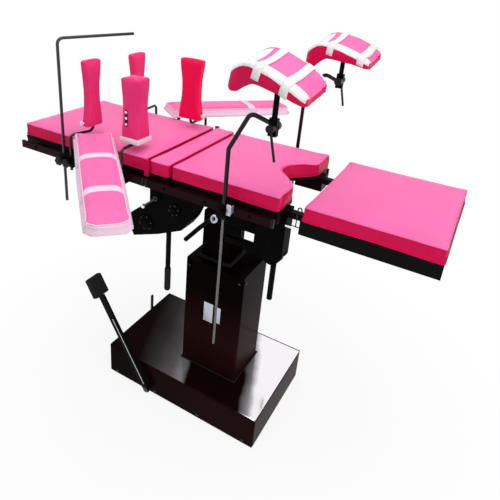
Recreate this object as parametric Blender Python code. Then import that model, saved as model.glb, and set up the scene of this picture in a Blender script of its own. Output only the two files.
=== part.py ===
"""Obstetric delivery table, in metres, with its origin on the floor under the column.

+X runs to the foot end, -Y is the operator's side and +Z is up.
"""

import math

import bmesh
import bpy
from mathutils import Matrix, Vector

# Clearances and tool values
GAP = 0.0003
RUN_GAP = 0.0006
OVERRUN = 0.004
WELD = 0.00001
ROUND_STEPS = 16
FINE_STEPS = 24
BEND_STEPS = 4
BEVEL_STEPS = 3
ROUND_PROFILE_SHARE = 0.5
SMOOTH_ANGLE = 35.0
PILLOW_EDGE_ANGLE = 50.0
RIM_SHARE = 0.99
UPRIGHT_SHARE = 0.9
BELLY_SHARE = 0.5

# Base
FOOT_HEIGHT = 0.010
FOOT_RADIUS = 0.022
FOOT_INSET = 0.040
PLATE_THICKNESS = 0.018
BASE_HEAD_X = -0.452
BASE_LENGTH = 0.755
BASE_WIDTH = 0.480
BASE_TOP = 0.165
COVER_WALL = 0.003
COVER_ROUND = 0.006
PUMP_SIZE = (0.13, 0.09, 0.07)
PUMP_X = -0.24
PUMP_Y = -0.10

# Column
COLUMN_LENGTH = 0.270
COLUMN_WIDTH = 0.220
COLUMN_TOP = 0.700
COLUMN_ROUND = 0.008
RAM_X = -0.026
SLEEVE_LENGTH = 0.130
SLEEVE_WIDTH = 0.120
SLEEVE_TOP = 0.900
SLEEVE_OVERLAP = 0.210
CYLINDER_RADIUS = 0.032
CYLINDER_TOP = 0.640
BORE_FLOOR = 0.060
RAM_RADIUS = 0.020
RAM_FOOT = 0.300

# Tilting head
CROSS_Z = 0.985
CROSS_HALF = 0.035
CROSS_HEIGHT = 0.034
PIN_RADIUS = 0.012
LUG_THICKNESS = 0.014
LUG_SETBACK = 0.050
LUG_REACH = 0.022
HEAD_PLATE = 0.014
HEAD_LUG_WIDTH = 0.080
BRACKET_SPREAD = 0.063
BRACKET_LENGTH = 0.120
BRACKET_PLATE = 0.017

# Table top
PAD_TOP = 1.160
PAD_THICKNESS = 0.060
PAD_WIDTH = 0.500
BOARD_THICKNESS = 0.012
BOARD_INSET = 0.006
HEAD_END_X = -0.897
BACK_FOOT_X = -0.237
KIDNEY_HEAD_X = -0.230
KIDNEY_FOOT_X = -0.140
SEAT_HEAD_X = -0.136
SEAT_FOOT_X = 0.293
LEG_HEAD_X = 0.363
LEG_FOOT_X = 0.793
LEG_DROP = 0.005
PAD_CROWN = 0.004
PAD_DRAW = 0.003
PAD_ROUND = 0.007
CUT_OUT_MARGIN = 0.004
CUT_OUT_HALF = (
    (0.200, 0.016),
    (0.206, 0.034),
    (0.222, 0.050),
    (0.252, 0.080),
    (0.293, 0.121),
)

# Side rails
BEAM_SETBACK = 0.015
BEAM_WIDTH = 0.030
BEAM_BOTTOM = 1.052
RAIL_CLEARANCE = 0.012
RAIL_THICKNESS = 0.010
RAIL_BOTTOM = 1.053
RAIL_TOP = 1.083
SPACER_LENGTH = 0.030
SPACER_HEIGHT = 0.020
HINGE_X = -0.2335
HINGE_Z = 1.146
EAR_WIDTH = 0.018
EAR_THICKNESS = 0.004
EAR_CLEARANCE = 0.003
EAR_FOOT = 0.030
PAD_SIDE_GAP = 0.0012
SEAT_SPACERS = 3
BACK_SPACERS = 4
HINGE_PIN_RADIUS = 0.004
HINGE_PIN_HEAD = 0.003

# Kidney bridge
KIDNEY_POST_RADIUS = 0.009
KIDNEY_POST_SETBACK = 0.140
KIDNEY_POST_FOOT = 0.985
KIDNEY_RUNNER_WIDTH = 0.034
KIDNEY_RUNNER_HEIGHT = 0.030

# Gear housing, seen from the side
HOUSING_SETBACK = 0.060
HOUSING_WIDTH = 0.085
HOUSING_HEAD_X = -0.344
HOUSING_LENGTH = 0.302
HOUSING_FOOT_Z = 0.800
HOUSING_HEIGHT = 0.2515
HOUSING_OUTLINE_SHARES = (
    (0.00, 0.235),
    (0.10, 0.000),
    (0.49, 0.180),
    (0.85, 0.390),
    (0.94, 0.550),
    (1.00, 0.720),
    (1.00, 1.000),
    (0.36, 1.000),
    (0.36, 0.700),
    (0.21, 0.465),
    (0.11, 0.457),
    (0.04, 0.380),
)
HANDLE_RADIUS = 0.0103
HANDLE_X = -0.172
HANDLE_PIVOT_Z = 0.890
HANDLE_LENGTH = 0.320
HANDLE_EYE_RADIUS = 0.020
HANDLE_EYE_WIDTH = 0.022
HANDLE_PIN_RADIUS = 0.006
LEVER_RADIUS = 0.004
LEVER_TOP = (-0.198, 1.004)
LEVER_TIP = (-0.255, 0.955)
LEVER_OFFSET = 0.056
LEVER_HUB_RADIUS = 0.010
LEVER_HUB_WIDTH = 0.008

# Leg section socket
SOCKET_SETBACK = 0.080
SOCKET_WIDTH = 0.058
SOCKET_HEAD_X = 0.196
SOCKET_FOOT_X = 0.304
SOCKET_BOTTOM = 0.868
SOCKET_TAPER = 0.035
SOCKET_NECK_SHARE = 1.5
FAR_SOCKET_BOTTOM = 1.035
ARM_HEIGHT = 0.022
ARM_WIDTH = 0.026
ARM_Z = 1.0725
ARM_TIP_X = 0.235
LEG_ARM_OVERLAP = 0.200
SKIRT_WALL = 0.014
SKIRT_BOTTOM = 1.047
LOCK_X = 0.268
LOCK_PIVOT_Z = 0.895
LOCK_LENGTH = 0.187

# Arm boards
ARM_RAIL_X = -0.460
ARM_TAIL = 0.048
ARM_PAD_WIDTH = 0.150
ARM_PAD_TOP = 1.205
ARM_PAD_THICKNESS = 0.034
ARM_BOARD_THICKNESS = 0.007
ARM_BOARD_INSET = 0.006
ARM_TAPER_START = 0.5
ARM_END_SHARE = 0.08
ARM_CORNER = 0.022
ARM_PIN_RADIUS = 0.008
ARM_PIN_FOOT = 1.036
ARM_BOARDS = (
    {"word": "near", "side": -1, "angle": 43.5, "droop": 4.5, "reach": 0.600},
    {"word": "far", "side": 1, "angle": 53.0, "droop": 2.0, "reach": 0.570},
)

# Rail clamps
CLAMP_LENGTH = 0.036
CLAMP_JAW = 0.007
CLAMP_BLOCK = 0.024
CLAMP_SLACK = 0.0005
CLAMP_KNOB_RADIUS = 0.014
CLAMP_KNOB_LENGTH = 0.022

# Shoulder and body supports: rail x, side, pad centre x and its distance in from the side, pad size, top
SUPPORT_ROD_RADIUS = 0.006
SUPPORT_BEND = 0.020
SUPPORT_ROD_FOOT = 1.030
SUPPORT_ARM_Z = 1.178
SUPPORT_STEM_TOP = 1.240
SUPPORT_WAIST_SHARE = 0.16
SUPPORTS = (
    {"rail_x": -0.588, "side": -1, "pad": (-0.558, 0.064), "size": (0.034, 0.096), "top": 1.470},
    {"rail_x": -0.592, "side": 1, "pad": (-0.578, 0.128), "size": (0.034, 0.100), "top": 1.455},
    {"rail_x": -0.330, "side": -1, "pad": (-0.336, 0.058), "size": (0.086, 0.080), "top": 1.436},
    {"rail_x": -0.312, "side": 1, "pad": (-0.308, 0.102), "size": (0.118, 0.036), "top": 1.466},
)
SUPPORT_PAD_FOOT = 1.200

# Anaesthesia screen
SCREEN_X = -0.626
SCREEN_ROD_RADIUS = 0.006
SCREEN_FOOT = 0.883
SCREEN_TOP = 1.541
SCREEN_ARM = 0.330
SCREEN_ARM_ANGLE = 18.0
SCREEN_BEND = 0.022
KNOB_RADIUS = 0.013
KNOB_LENGTH = 0.020
KNOB_STUD_RADIUS = 0.005

# Knee crutches: rail x, side, foot of the rod, and heights of the joint and of the pad's plate
CRUTCHES = (
    {"word": "near", "side": -1, "rail_x": 0.112, "foot": 0.500, "eye": 1.398, "pad": 1.536, "tip": 14.0},
    {"word": "far", "side": 1, "rail_x": 0.137, "foot": 0.620, "eye": 1.432, "pad": 1.531, "tip": 6.0},
)
CRUTCH_ROD_RADIUS = 0.0075
CRUTCH_TAIL_RADIUS = 0.0045
CRUTCH_TAIL_TOP = 1.036
CRUTCH_BEND = 0.022
CRUTCH_SHOULDER_DROP = 0.108
CRUTCH_CREST_RISE = 0.022
CRUTCH_CREST_REACH = 0.065
CRUTCH_EYE_X = 0.262
CRUTCH_EYE_RADIUS = 0.015
CRUTCH_EYE_WIDTH = 0.016
CRUTCH_LUG_WIDTH = 0.018
CRUTCH_LUG_HALF_LENGTH = 0.013
CRUTCH_LUG_HALF_HEIGHT = 0.027
CRUTCH_STEM_RADIUS = 0.0085
CRUTCH_PLATE_HEAD = -0.020
CRUTCH_PLATE_FOOT = 0.059
CRUTCH_PLATE_WIDTH = 0.070
CRUTCH_PAD_PLATE = 0.006
CRUTCH_PAD_HEAD = -0.125
CRUTCH_PAD_LENGTH = 0.248
CRUTCH_PAD_WIDTH = 0.180
CRUTCH_ROLL = 9.0
CRUTCH_PAD_DISH = 0.010
CRUTCH_PAD_ROUND = 0.012
CRUTCH_END_SHARE = 0.22
CRUTCH_LEVER_REACH = 0.022
CRUTCH_LEVER_DROP = 0.098
# Underside and rim of a crutch pad over its plate, at equal steps from the head end
CRUTCH_PROFILE = (
    (-0.050, 0.004),
    (-0.056, 0.034),
    (-0.047, 0.052),
    (-0.022, 0.058),
    (-0.003, 0.057),
    (0.000, 0.056),
    (0.000, 0.054),
    (0.000, 0.051),
    (0.000, 0.047),
    (0.000, 0.042),
    (-0.003, 0.036),
    (-0.007, 0.029),
    (-0.011, 0.021),
)

# Foot controls
PUMP_PIVOT = (-0.220, 0.045)
PUMP_LEVER_CLEARANCE = 0.022
PUMP_BAR_WIDTH = 0.034
PUMP_BAR_THICKNESS = 0.010
PUMP_ANGLE = 122.0
PUMP_LENGTH = 0.478
PUMP_PIN_RADIUS = 0.009
PEDAL_LENGTH = 0.092
PEDAL_WIDTH = 0.078
PEDAL_THICKNESS = 0.030
RELEASE_Y = 0.120
RELEASE_WIDTH = 0.014
RELEASE_THICKNESS = 0.008
RELEASE_PIVOT_Z = 0.125
RELEASE_PIN_RADIUS = 0.005
RELEASE_REACH = 0.030
RELEASE_TOP = 0.212
RELEASE_PIVOT_X = -0.425
RELEASE_LUG_Y = 0.131
RELEASE_LUG_WIDTH = 0.008
RELEASE_LUG_HALF = 0.014

# Sizes worked out from those above
PLATE_BOTTOM = FOOT_HEIGHT
PLATE_TOP = PLATE_BOTTOM + PLATE_THICKNESS
BASE_FOOT_X = BASE_HEAD_X + BASE_LENGTH
COVER_BOTTOM = PLATE_BOTTOM + 2 * GAP
COLUMN_FOOT = BASE_TOP + GAP
PAD_BOTTOM = PAD_TOP - PAD_THICKNESS
BOARD_TOP = PAD_BOTTOM - GAP
BOARD_BOTTOM = BOARD_TOP - BOARD_THICKNESS
BEAM_TOP = BOARD_BOTTOM - GAP
BEAM_OUTER = PAD_WIDTH / 2 - BEAM_SETBACK
BEAM_INNER = BEAM_OUTER - BEAM_WIDTH
RAIL_INNER = PAD_WIDTH / 2 + RAIL_CLEARANCE
RAIL_OUTER = RAIL_INNER + RAIL_THICKNESS
RAIL_CENTRE = (RAIL_INNER + RAIL_OUTER) / 2
HOUSING_Y = HOUSING_SETBACK - PAD_WIDTH / 2
LEVER_Y = HOUSING_Y - LEVER_OFFSET
SOCKET_Y = PAD_WIDTH / 2 - SOCKET_SETBACK
KIDNEY_POST_Y = PAD_WIDTH / 2 - KIDNEY_POST_SETBACK
PUMP_LEVER_Y = -BASE_WIDTH / 2 - PUMP_LEVER_CLEARANCE
CLAMP_OUTER = RAIL_OUTER + CLAMP_SLACK + CLAMP_BLOCK
ROD_Y = RAIL_OUTER + CLAMP_SLACK + CLAMP_BLOCK / 2

parts = None
paints = {}


def paint(name, colour, roughness, metallic=0.0):
    """A Principled material, made once."""
    if name not in paints:
        made = bpy.data.materials.new(name)
        made.use_nodes = True
        shader = made.node_tree.nodes["Principled BSDF"]
        shader.inputs["Base Color"].default_value = (*colour, 1.0)
        shader.inputs["Roughness"].default_value = roughness
        shader.inputs["Metallic"].default_value = metallic
        made.diffuse_color = (*colour, 1.0)
        paints[name] = made
    return paints[name]


def gloss_maroon():
    return paint("maroon_gloss_paint", (0.035, 0.006, 0.009), 0.18)


def black_paint():
    return paint("black_paint", (0.012, 0.011, 0.012), 0.35)


def dark_chrome():
    return paint("dark_chrome", (0.32, 0.30, 0.31), 0.22, 1.0)


def pink_vinyl():
    return paint("pink_vinyl", (0.88, 0.10, 0.32), 0.42)


def crimson_vinyl():
    return paint("crimson_vinyl", (0.62, 0.01, 0.10), 0.42)


def black_rubber():
    return paint("black_rubber", (0.015, 0.015, 0.015), 0.75)


def keep(shape, name, material, smooth=True):
    """Names a finished object, gives it its material and puts it with the parts."""
    shape.name = name
    shape.data.materials.clear()
    shape.data.materials.append(material)
    if smooth:
        shape.data.shade_smooth()
        shape.data.set_sharp_from_angle(angle=math.radians(SMOOTH_ANGLE))
    move_to(shape, parts)
    return shape


def move_to(shape, collection):
    for held in list(shape.users_collection):
        held.objects.unlink(shape)
    collection.objects.link(shape)


def from_bmesh(cage):
    mesh = bpy.data.meshes.new("shape")
    bmesh.ops.recalc_face_normals(cage, faces=cage.faces)
    cage.to_mesh(mesh)
    cage.free()
    shape = bpy.data.objects.new("shape", mesh)
    parts.objects.link(shape)
    return shape


def box(low, high, bevel=0.0, segments=2):
    """A box between two corners, with its edges rounded when a bevel is given."""
    low, high = Vector(low), Vector(high)
    cage = bmesh.new()
    bmesh.ops.create_cube(cage, size=1.0)
    bmesh.ops.scale(cage, vec=high - low, verts=cage.verts)
    bmesh.ops.translate(cage, vec=(low + high) / 2, verts=cage.verts)
    if bevel:
        bmesh.ops.bevel(cage, geom=cage.edges[:], offset=bevel, segments=segments,
                        profile=ROUND_PROFILE_SHARE, affect="EDGES")
    return from_bmesh(cage)


def turn_to(direction):
    """The rotation that takes +Z to a direction."""
    return Vector((0, 0, 1)).rotation_difference(Vector(direction)).to_matrix().to_4x4()


def rod(start, end, radius, end_radius=None, steps=ROUND_STEPS):
    """A round bar, or a cone, between two points."""
    start, end = Vector(start), Vector(end)
    cage = bmesh.new()
    place = Matrix.Translation((start + end) / 2) @ turn_to(end - start)
    bmesh.ops.create_cone(cage, cap_ends=True, segments=steps, radius1=radius,
                          radius2=radius if end_radius is None else end_radius,
                          depth=(end - start).length, matrix=place)
    return from_bmesh(cage)


def bent_rod(points, radius, bend, resolution=2):
    """A bar along a route whose corners are rounded with arcs of one radius."""
    points = [Vector(p) for p in points]
    route = [points[0]]
    for before, corner, after in zip(points, points[1:], points[2:]):
        a, b = (before - corner).normalized(), (after - corner).normalized()
        half = a.angle(b) / 2
        run = bend / math.tan(half)
        centre = corner + (a + b).normalized() * bend / math.sin(half)
        first = (corner + a * run - centre).normalized()
        last = (corner + b * run - centre).normalized()
        for step in range(BEND_STEPS + 1):
            route.append(centre + first.slerp(last, step / BEND_STEPS) * bend)
    route.append(points[-1])
    curve = bpy.data.curves.new("route", "CURVE")
    curve.dimensions = "3D"
    curve.bevel_depth = radius
    curve.bevel_resolution = resolution
    curve.use_fill_caps = True
    spline = curve.splines.new("POLY")
    spline.points.add(len(route) - 1)
    for point, place in zip(spline.points, route):
        point.co = (*place, 1.0)
    return as_mesh(bpy.data.objects.new("route", curve))


def as_mesh(curve_object):
    """A curve object as a closed mesh in its place; the curve is removed."""
    parts.objects.link(curve_object)
    bpy.context.view_layer.update()
    seen = curve_object.evaluated_get(bpy.context.evaluated_depsgraph_get())
    mesh = bpy.data.meshes.new_from_object(seen)
    made = bpy.data.objects.new(curve_object.name, mesh)
    made.matrix_world = curve_object.matrix_world
    bpy.data.objects.remove(curve_object)
    parts.objects.link(made)
    cage = bmesh.new()
    cage.from_mesh(mesh)
    bmesh.ops.remove_doubles(cage, verts=cage.verts, dist=WELD)
    bmesh.ops.recalc_face_normals(cage, faces=cage.faces)
    cage.to_mesh(mesh)
    cage.free()
    return made


def slab(outline, thickness, place):
    """A flat outline as a solid, centred on its plane and set by a matrix."""
    curve = bpy.data.curves.new("outline", "CURVE")
    curve.dimensions = "2D"
    curve.fill_mode = "BOTH"
    curve.extrude = thickness / 2
    spline = curve.splines.new("POLY")
    spline.points.add(len(outline) - 1)
    for point, (across, along) in zip(spline.points, outline):
        point.co = (across, along, 0.0, 1.0)
    spline.use_cyclic_u = True
    held = bpy.data.objects.new("outline", curve)
    held.matrix_world = place
    return as_mesh(held)


def upright(y):
    """The plane through y in which an outline's points are x and z."""
    return Matrix.Translation((0, y, 0)) @ Matrix.Rotation(math.radians(90), 4, "X")


def combine(shape, others, operation):
    """Booleans the others into a shape and removes them."""
    for other in others:
        step = shape.modifiers.new("join", "BOOLEAN")
        step.operation = operation
        step.solver = "EXACT"
        step.object = other
        bpy.context.view_layer.update()
        seen = shape.evaluated_get(bpy.context.evaluated_depsgraph_get())
        mesh = bpy.data.meshes.new_from_object(seen)
        shape.modifiers.clear()
        old = shape.data
        shape.data = mesh
        bpy.data.meshes.remove(old)
        bpy.data.objects.remove(other)
    return shape


def union(shape, *others):
    return combine(shape, others, "UNION")


def cut(shape, *others):
    return combine(shape, others, "DIFFERENCE")


def pillow(low, high, cuts, crown, draw, rounding, shape_at=None, segments=2):
    """A cushion: a box with a crowned top, sides drawn in between its corners and rounded edges.

    shape_at can move a point by its shares of the length, width and height, each from -1 to 1.
    """
    low, high = Vector(low), Vector(high)
    half = (high - low) / 2
    centre = (high + low) / 2
    cage = bmesh.new()
    bmesh.ops.create_cube(cage, size=2.0)
    for axis in range(3):
        edges = [e for e in cage.edges
                 if abs((e.verts[0].co - e.verts[1].co)[axis]) > 1.0]
        if cuts[axis]:
            bmesh.ops.subdivide_edges(cage, edges=edges, cuts=cuts[axis], use_grid_fill=True)
    for vert in cage.verts:
        u, v, w = vert.co
        x, y, z = u * half.x, v * half.y, w * half.z
        pull = draw * (1 - (1 - w * w) * BELLY_SHARE)
        x -= math.copysign(pull, u) * (1 - v * v) * (abs(u) > RIM_SHARE)
        y -= math.copysign(pull, v) * (1 - u * u) * (abs(v) > RIM_SHARE)
        if w > RIM_SHARE:
            z -= crown * (1 - (1 - u * u) * (1 - v * v))
        vert.co = (x, y, z)
        if shape_at:
            vert.co = shape_at(vert.co, u, v, w)
    bmesh.ops.recalc_face_normals(cage, faces=cage.faces)
    sharp = [e for e in cage.edges if len(e.link_faces) == 2
             and e.calc_face_angle(0.0) > math.radians(PILLOW_EDGE_ANGLE)]
    bmesh.ops.bevel(cage, geom=sharp, offset=rounding, segments=segments,
                    profile=ROUND_PROFILE_SHARE,
                    affect="EDGES", clamp_overlap=True)
    bmesh.ops.translate(cage, vec=centre, verts=cage.verts)
    return from_bmesh(cage)


def base_pieces():
    plate_inset = COVER_WALL + 2 * GAP
    half = BASE_WIDTH / 2
    plate = box((BASE_HEAD_X + plate_inset, -half + plate_inset, PLATE_BOTTOM),
                (BASE_FOOT_X - plate_inset, half - plate_inset, PLATE_TOP))
    for x in (BASE_HEAD_X + FOOT_INSET, BASE_FOOT_X - FOOT_INSET):
        for y in (-half + FOOT_INSET, half - FOOT_INSET):
            union(plate, rod((x, y, 0), (x, y, FOOT_HEIGHT + OVERRUN), FOOT_RADIUS))
    keep(plate, "base_plate", black_paint())
    cover = box((BASE_HEAD_X, -half, COVER_BOTTOM), (BASE_FOOT_X, half, BASE_TOP), COVER_ROUND)
    hollow = box((BASE_HEAD_X + COVER_WALL, -half + COVER_WALL, COVER_BOTTOM - COVER_ROUND),
                 (BASE_FOOT_X - COVER_WALL, half - COVER_WALL, BASE_TOP - COVER_WALL))
    mouth = rod((RAM_X, 0, BASE_TOP - 2 * COVER_WALL), (RAM_X, 0, BASE_TOP + OVERRUN),
                CYLINDER_RADIUS + OVERRUN)
    slot = rod((PUMP_PIVOT[0], -half - OVERRUN, PUMP_PIVOT[1]),
               (PUMP_PIVOT[0], -half + 2 * COVER_WALL, PUMP_PIVOT[1]),
               PUMP_PIN_RADIUS + RUN_GAP)
    release_slot = box(
        (BASE_HEAD_X - OVERRUN, RELEASE_Y - RELEASE_WIDTH / 2 - RUN_GAP,
         RELEASE_PIVOT_Z - RELEASE_THICKNESS / 2 - 2 * OVERRUN),
        (BASE_HEAD_X + 2 * COVER_WALL, RELEASE_Y + RELEASE_WIDTH / 2 + RUN_GAP,
         RELEASE_PIVOT_Z + RELEASE_THICKNESS / 2 + 2 * OVERRUN))
    lug = box((BASE_HEAD_X + COVER_WALL / 2, RELEASE_LUG_Y, RELEASE_PIVOT_Z - RELEASE_LUG_HALF),
              (RELEASE_PIVOT_X + RELEASE_LUG_HALF, RELEASE_LUG_Y + RELEASE_LUG_WIDTH,
               RELEASE_PIVOT_Z + RELEASE_LUG_HALF))
    lug_bore = rod((RELEASE_PIVOT_X, RELEASE_LUG_Y - OVERRUN, RELEASE_PIVOT_Z),
                   (RELEASE_PIVOT_X, RELEASE_LUG_Y + RELEASE_LUG_WIDTH + OVERRUN, RELEASE_PIVOT_Z),
                   RELEASE_PIN_RADIUS + RUN_GAP)
    cut(cover, hollow, mouth, slot, release_slot)
    union(cover, cut(lug, lug_bore))
    keep(cover, "base_cover", gloss_maroon())
    half_pump = [side / 2 for side in PUMP_SIZE]
    pump = box((PUMP_X - half_pump[0], PUMP_Y - half_pump[1], PLATE_TOP + GAP),
               (PUMP_X + half_pump[0], PUMP_Y + half_pump[1], PLATE_TOP + GAP + PUMP_SIZE[2]),
               COVER_WALL)
    keep(pump, "pump_block", black_paint())


def column_pieces():
    half_l, half_w = COLUMN_LENGTH / 2, COLUMN_WIDTH / 2
    lower = box((-half_l, -half_w, COLUMN_FOOT), (half_l, half_w, COLUMN_TOP))
    bevel_upright(lower, COLUMN_ROUND)
    hollow = box((-half_l + COVER_WALL, -half_w + COVER_WALL, COLUMN_FOOT - OVERRUN),
                 (half_l - COVER_WALL, half_w - COVER_WALL, COLUMN_TOP - COVER_WALL))
    throat_l = SLEEVE_LENGTH / 2 + RUN_GAP
    throat_w = SLEEVE_WIDTH / 2 + RUN_GAP
    throat = box((RAM_X - throat_l, -throat_w, COLUMN_TOP - 2 * COVER_WALL),
                 (RAM_X + throat_l, throat_w, COLUMN_TOP + OVERRUN))
    cut(lower, hollow, throat)
    keep(lower, "column_cover_lower", gloss_maroon())
    cylinder = rod((RAM_X, 0, PLATE_TOP + GAP), (RAM_X, 0, CYLINDER_TOP), CYLINDER_RADIUS,
                   steps=FINE_STEPS)
    bore = rod((RAM_X, 0, BORE_FLOOR), (RAM_X, 0, CYLINDER_TOP + OVERRUN), RAM_RADIUS + RUN_GAP)
    keep(cut(cylinder, bore), "hydraulic_cylinder", dark_chrome())
    outer_l, outer_w = SLEEVE_LENGTH / 2, SLEEVE_WIDTH / 2
    sleeve_foot = COLUMN_TOP - SLEEVE_OVERLAP
    sleeve = box((RAM_X - outer_l, -outer_w, sleeve_foot), (RAM_X + outer_l, outer_w, SLEEVE_TOP))
    inside = box((RAM_X - outer_l + COVER_WALL, -outer_w + COVER_WALL, sleeve_foot - OVERRUN),
                 (RAM_X + outer_l - COVER_WALL, outer_w - COVER_WALL, SLEEVE_TOP + OVERRUN))
    keep(cut(sleeve, inside), "column_cover_upper", gloss_maroon(), smooth=False)


def bevel_upright(shape, width):
    """Rounds the upright edges of a box."""
    cage = bmesh.new()
    cage.from_mesh(shape.data)
    edges = [e for e in cage.edges if abs((e.verts[0].co - e.verts[1].co).normalized().z)
             > UPRIGHT_SHARE]
    bmesh.ops.bevel(cage, geom=edges, offset=width, segments=BEVEL_STEPS,
                    profile=ROUND_PROFILE_SHARE, affect="EDGES")
    cage.to_mesh(shape.data)
    cage.free()


def head_pieces():
    """The fork, the trunnion cross and the bracket that let the top roll and pitch."""
    foot = SLEEVE_TOP + GAP
    half_l = SLEEVE_LENGTH / 2
    half_w = SLEEVE_WIDTH / 2
    head = box((RAM_X - half_l, -half_w, foot), (RAM_X + half_l, half_w, foot + HEAD_PLATE))
    for side in (-1, 1):
        inner = RAM_X + side * (LUG_SETBACK - LUG_THICKNESS / 2)
        outer = RAM_X + side * (LUG_SETBACK + LUG_THICKNESS / 2)
        lug = box((min(inner, outer), -HEAD_LUG_WIDTH / 2, foot + HEAD_PLATE / 2),
                  (max(inner, outer), HEAD_LUG_WIDTH / 2, CROSS_Z + LUG_REACH))
        union(head, lug)
    roll_bore = rod((RAM_X - LUG_SETBACK - LUG_THICKNESS, 0, CROSS_Z),
                    (RAM_X + LUG_SETBACK + LUG_THICKNESS, 0, CROSS_Z),
                    PIN_RADIUS + RUN_GAP, steps=FINE_STEPS)
    ram = rod((RAM_X, 0, RAM_FOOT), (RAM_X, 0, foot + HEAD_PLATE / 2), RAM_RADIUS)
    keep(cut(union(head, ram), roll_bore), "ram_and_fork", black_paint())

    tall = CROSS_HEIGHT / 2
    cross = box((RAM_X - CROSS_HALF, -CROSS_HALF, CROSS_Z - tall),
                (RAM_X + CROSS_HALF, CROSS_HALF, CROSS_Z + tall))
    roll_pin = rod((RAM_X - LUG_SETBACK - LUG_THICKNESS / 2, 0, CROSS_Z),
                   (RAM_X + LUG_SETBACK + LUG_THICKNESS / 2, 0, CROSS_Z), PIN_RADIUS, steps=FINE_STEPS)
    pitch_pin = rod((RAM_X, -BRACKET_SPREAD - LUG_THICKNESS / 2, CROSS_Z),
                    (RAM_X, BRACKET_SPREAD + LUG_THICKNESS / 2, CROSS_Z), PIN_RADIUS, steps=FINE_STEPS)
    keep(union(cross, roll_pin, pitch_pin), "tilt_cross", dark_chrome())

    half_b = BRACKET_LENGTH / 2
    reach = BRACKET_SPREAD + LUG_THICKNESS / 2
    bracket = box((RAM_X - half_b, -reach, BEAM_TOP - BRACKET_PLATE),
                  (RAM_X + half_b, reach, BEAM_TOP))
    for side in (-1, 1):
        inner = side * (BRACKET_SPREAD - LUG_THICKNESS / 2)
        outer = side * reach
        lug = box((RAM_X - half_b, min(inner, outer), CROSS_Z - LUG_REACH),
                  (RAM_X + half_b, max(inner, outer), BEAM_TOP - BRACKET_PLATE / 2))
        union(bracket, lug)
    pitch_bore = rod((RAM_X, -reach - OVERRUN, CROSS_Z), (RAM_X, reach + OVERRUN, CROSS_Z),
                     PIN_RADIUS + RUN_GAP, steps=FINE_STEPS)
    keep(cut(bracket, pitch_bore), "pitch_bracket", black_paint(), smooth=False)


def cut_out(low, high, margin):
    """The notch at the seat's foot end, as a cutter from low to high."""
    far_side = [(x - margin, y + margin) for x, y in CUT_OUT_HALF]
    far_side.append((SEAT_FOOT_X + OVERRUN, CUT_OUT_HALF[-1][1] + margin))
    near_side = [(x, -y) for x, y in reversed(far_side)]
    return slab(near_side + far_side, high - low, Matrix.Translation((0, 0, (low + high) / 2)))


def seat_pieces():
    half = PAD_WIDTH / 2
    pad = pillow((SEAT_HEAD_X, -half, PAD_BOTTOM), (SEAT_FOOT_X, half, PAD_TOP), (5, 5, 1),
                 PAD_CROWN, PAD_DRAW, PAD_ROUND)
    cut(pad, cut_out(PAD_BOTTOM - OVERRUN, PAD_TOP + OVERRUN, 0.0))
    keep(pad, "seat_pad", pink_vinyl())
    edge = half - BOARD_INSET
    board = box((SEAT_HEAD_X, -edge, BOARD_BOTTOM), (SEAT_FOOT_X - BOARD_INSET, edge, BOARD_TOP))
    cut(board, cut_out(BOARD_BOTTOM - OVERRUN, BOARD_TOP + OVERRUN, CUT_OUT_MARGIN))
    keep(board, "seat_frame", black_paint(), smooth=False)


def side_block(side, x0, x1, y0, y1, z0, z1):
    """A box on one side of the table, given by its distances from the middle."""
    return box((x0, min(side * y0, side * y1), z0), (x1, max(side * y0, side * y1), z1))


def hinge_strap(side, inner, toward):
    """An upright strap at the back hinge, with a foot that joins it to its beam.

    toward is +1 for the seat's beam and -1 for the back's.
    """
    half = EAR_WIDTH / 2
    low, high = BEAM_BOTTOM + OVERRUN, BEAM_TOP - OVERRUN
    outer = inner + EAR_THICKNESS
    strap = side_block(side, HINGE_X - half, HINGE_X + half, inner, outer, low, HINGE_Z + half)
    ends = sorted((HINGE_X, HINGE_X + toward * EAR_FOOT))
    foot = side_block(side, *ends, inner, outer, low, high)
    ends = sorted((HINGE_X + toward * (half + EAR_CLEARANCE), HINGE_X + toward * EAR_FOOT))
    bridge = side_block(side, *ends, BEAM_OUTER - OVERRUN, inner + EAR_THICKNESS / 2, low, high)
    return union(strap, foot, bridge)


def side_rail(side, head_x, foot_x, spacers):
    """A frame beam with the accessory rail that stands off it on spacers."""
    beam = side_block(side, head_x, foot_x, BEAM_INNER, BEAM_OUTER, BEAM_BOTTOM, BEAM_TOP)
    rail = side_block(side, head_x, foot_x, RAIL_INNER, RAIL_OUTER, RAIL_BOTTOM, RAIL_TOP)
    middle = (RAIL_BOTTOM + RAIL_TOP) / 2
    for x in spacers:
        spacer = side_block(side, x - SPACER_LENGTH / 2, x + SPACER_LENGTH / 2,
                            BEAM_OUTER - OVERRUN, RAIL_INNER + OVERRUN,
                            middle - SPACER_HEIGHT / 2, middle + SPACER_HEIGHT / 2)
        union(beam, spacer)
    return union(beam, rail)


def spread(head_x, foot_x, count):
    """Places along a rail, the same distance apart and half of it from each end."""
    pitch = (foot_x - head_x) / count
    return [head_x + pitch * (number + 0.5) for number in range(count)]


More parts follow.
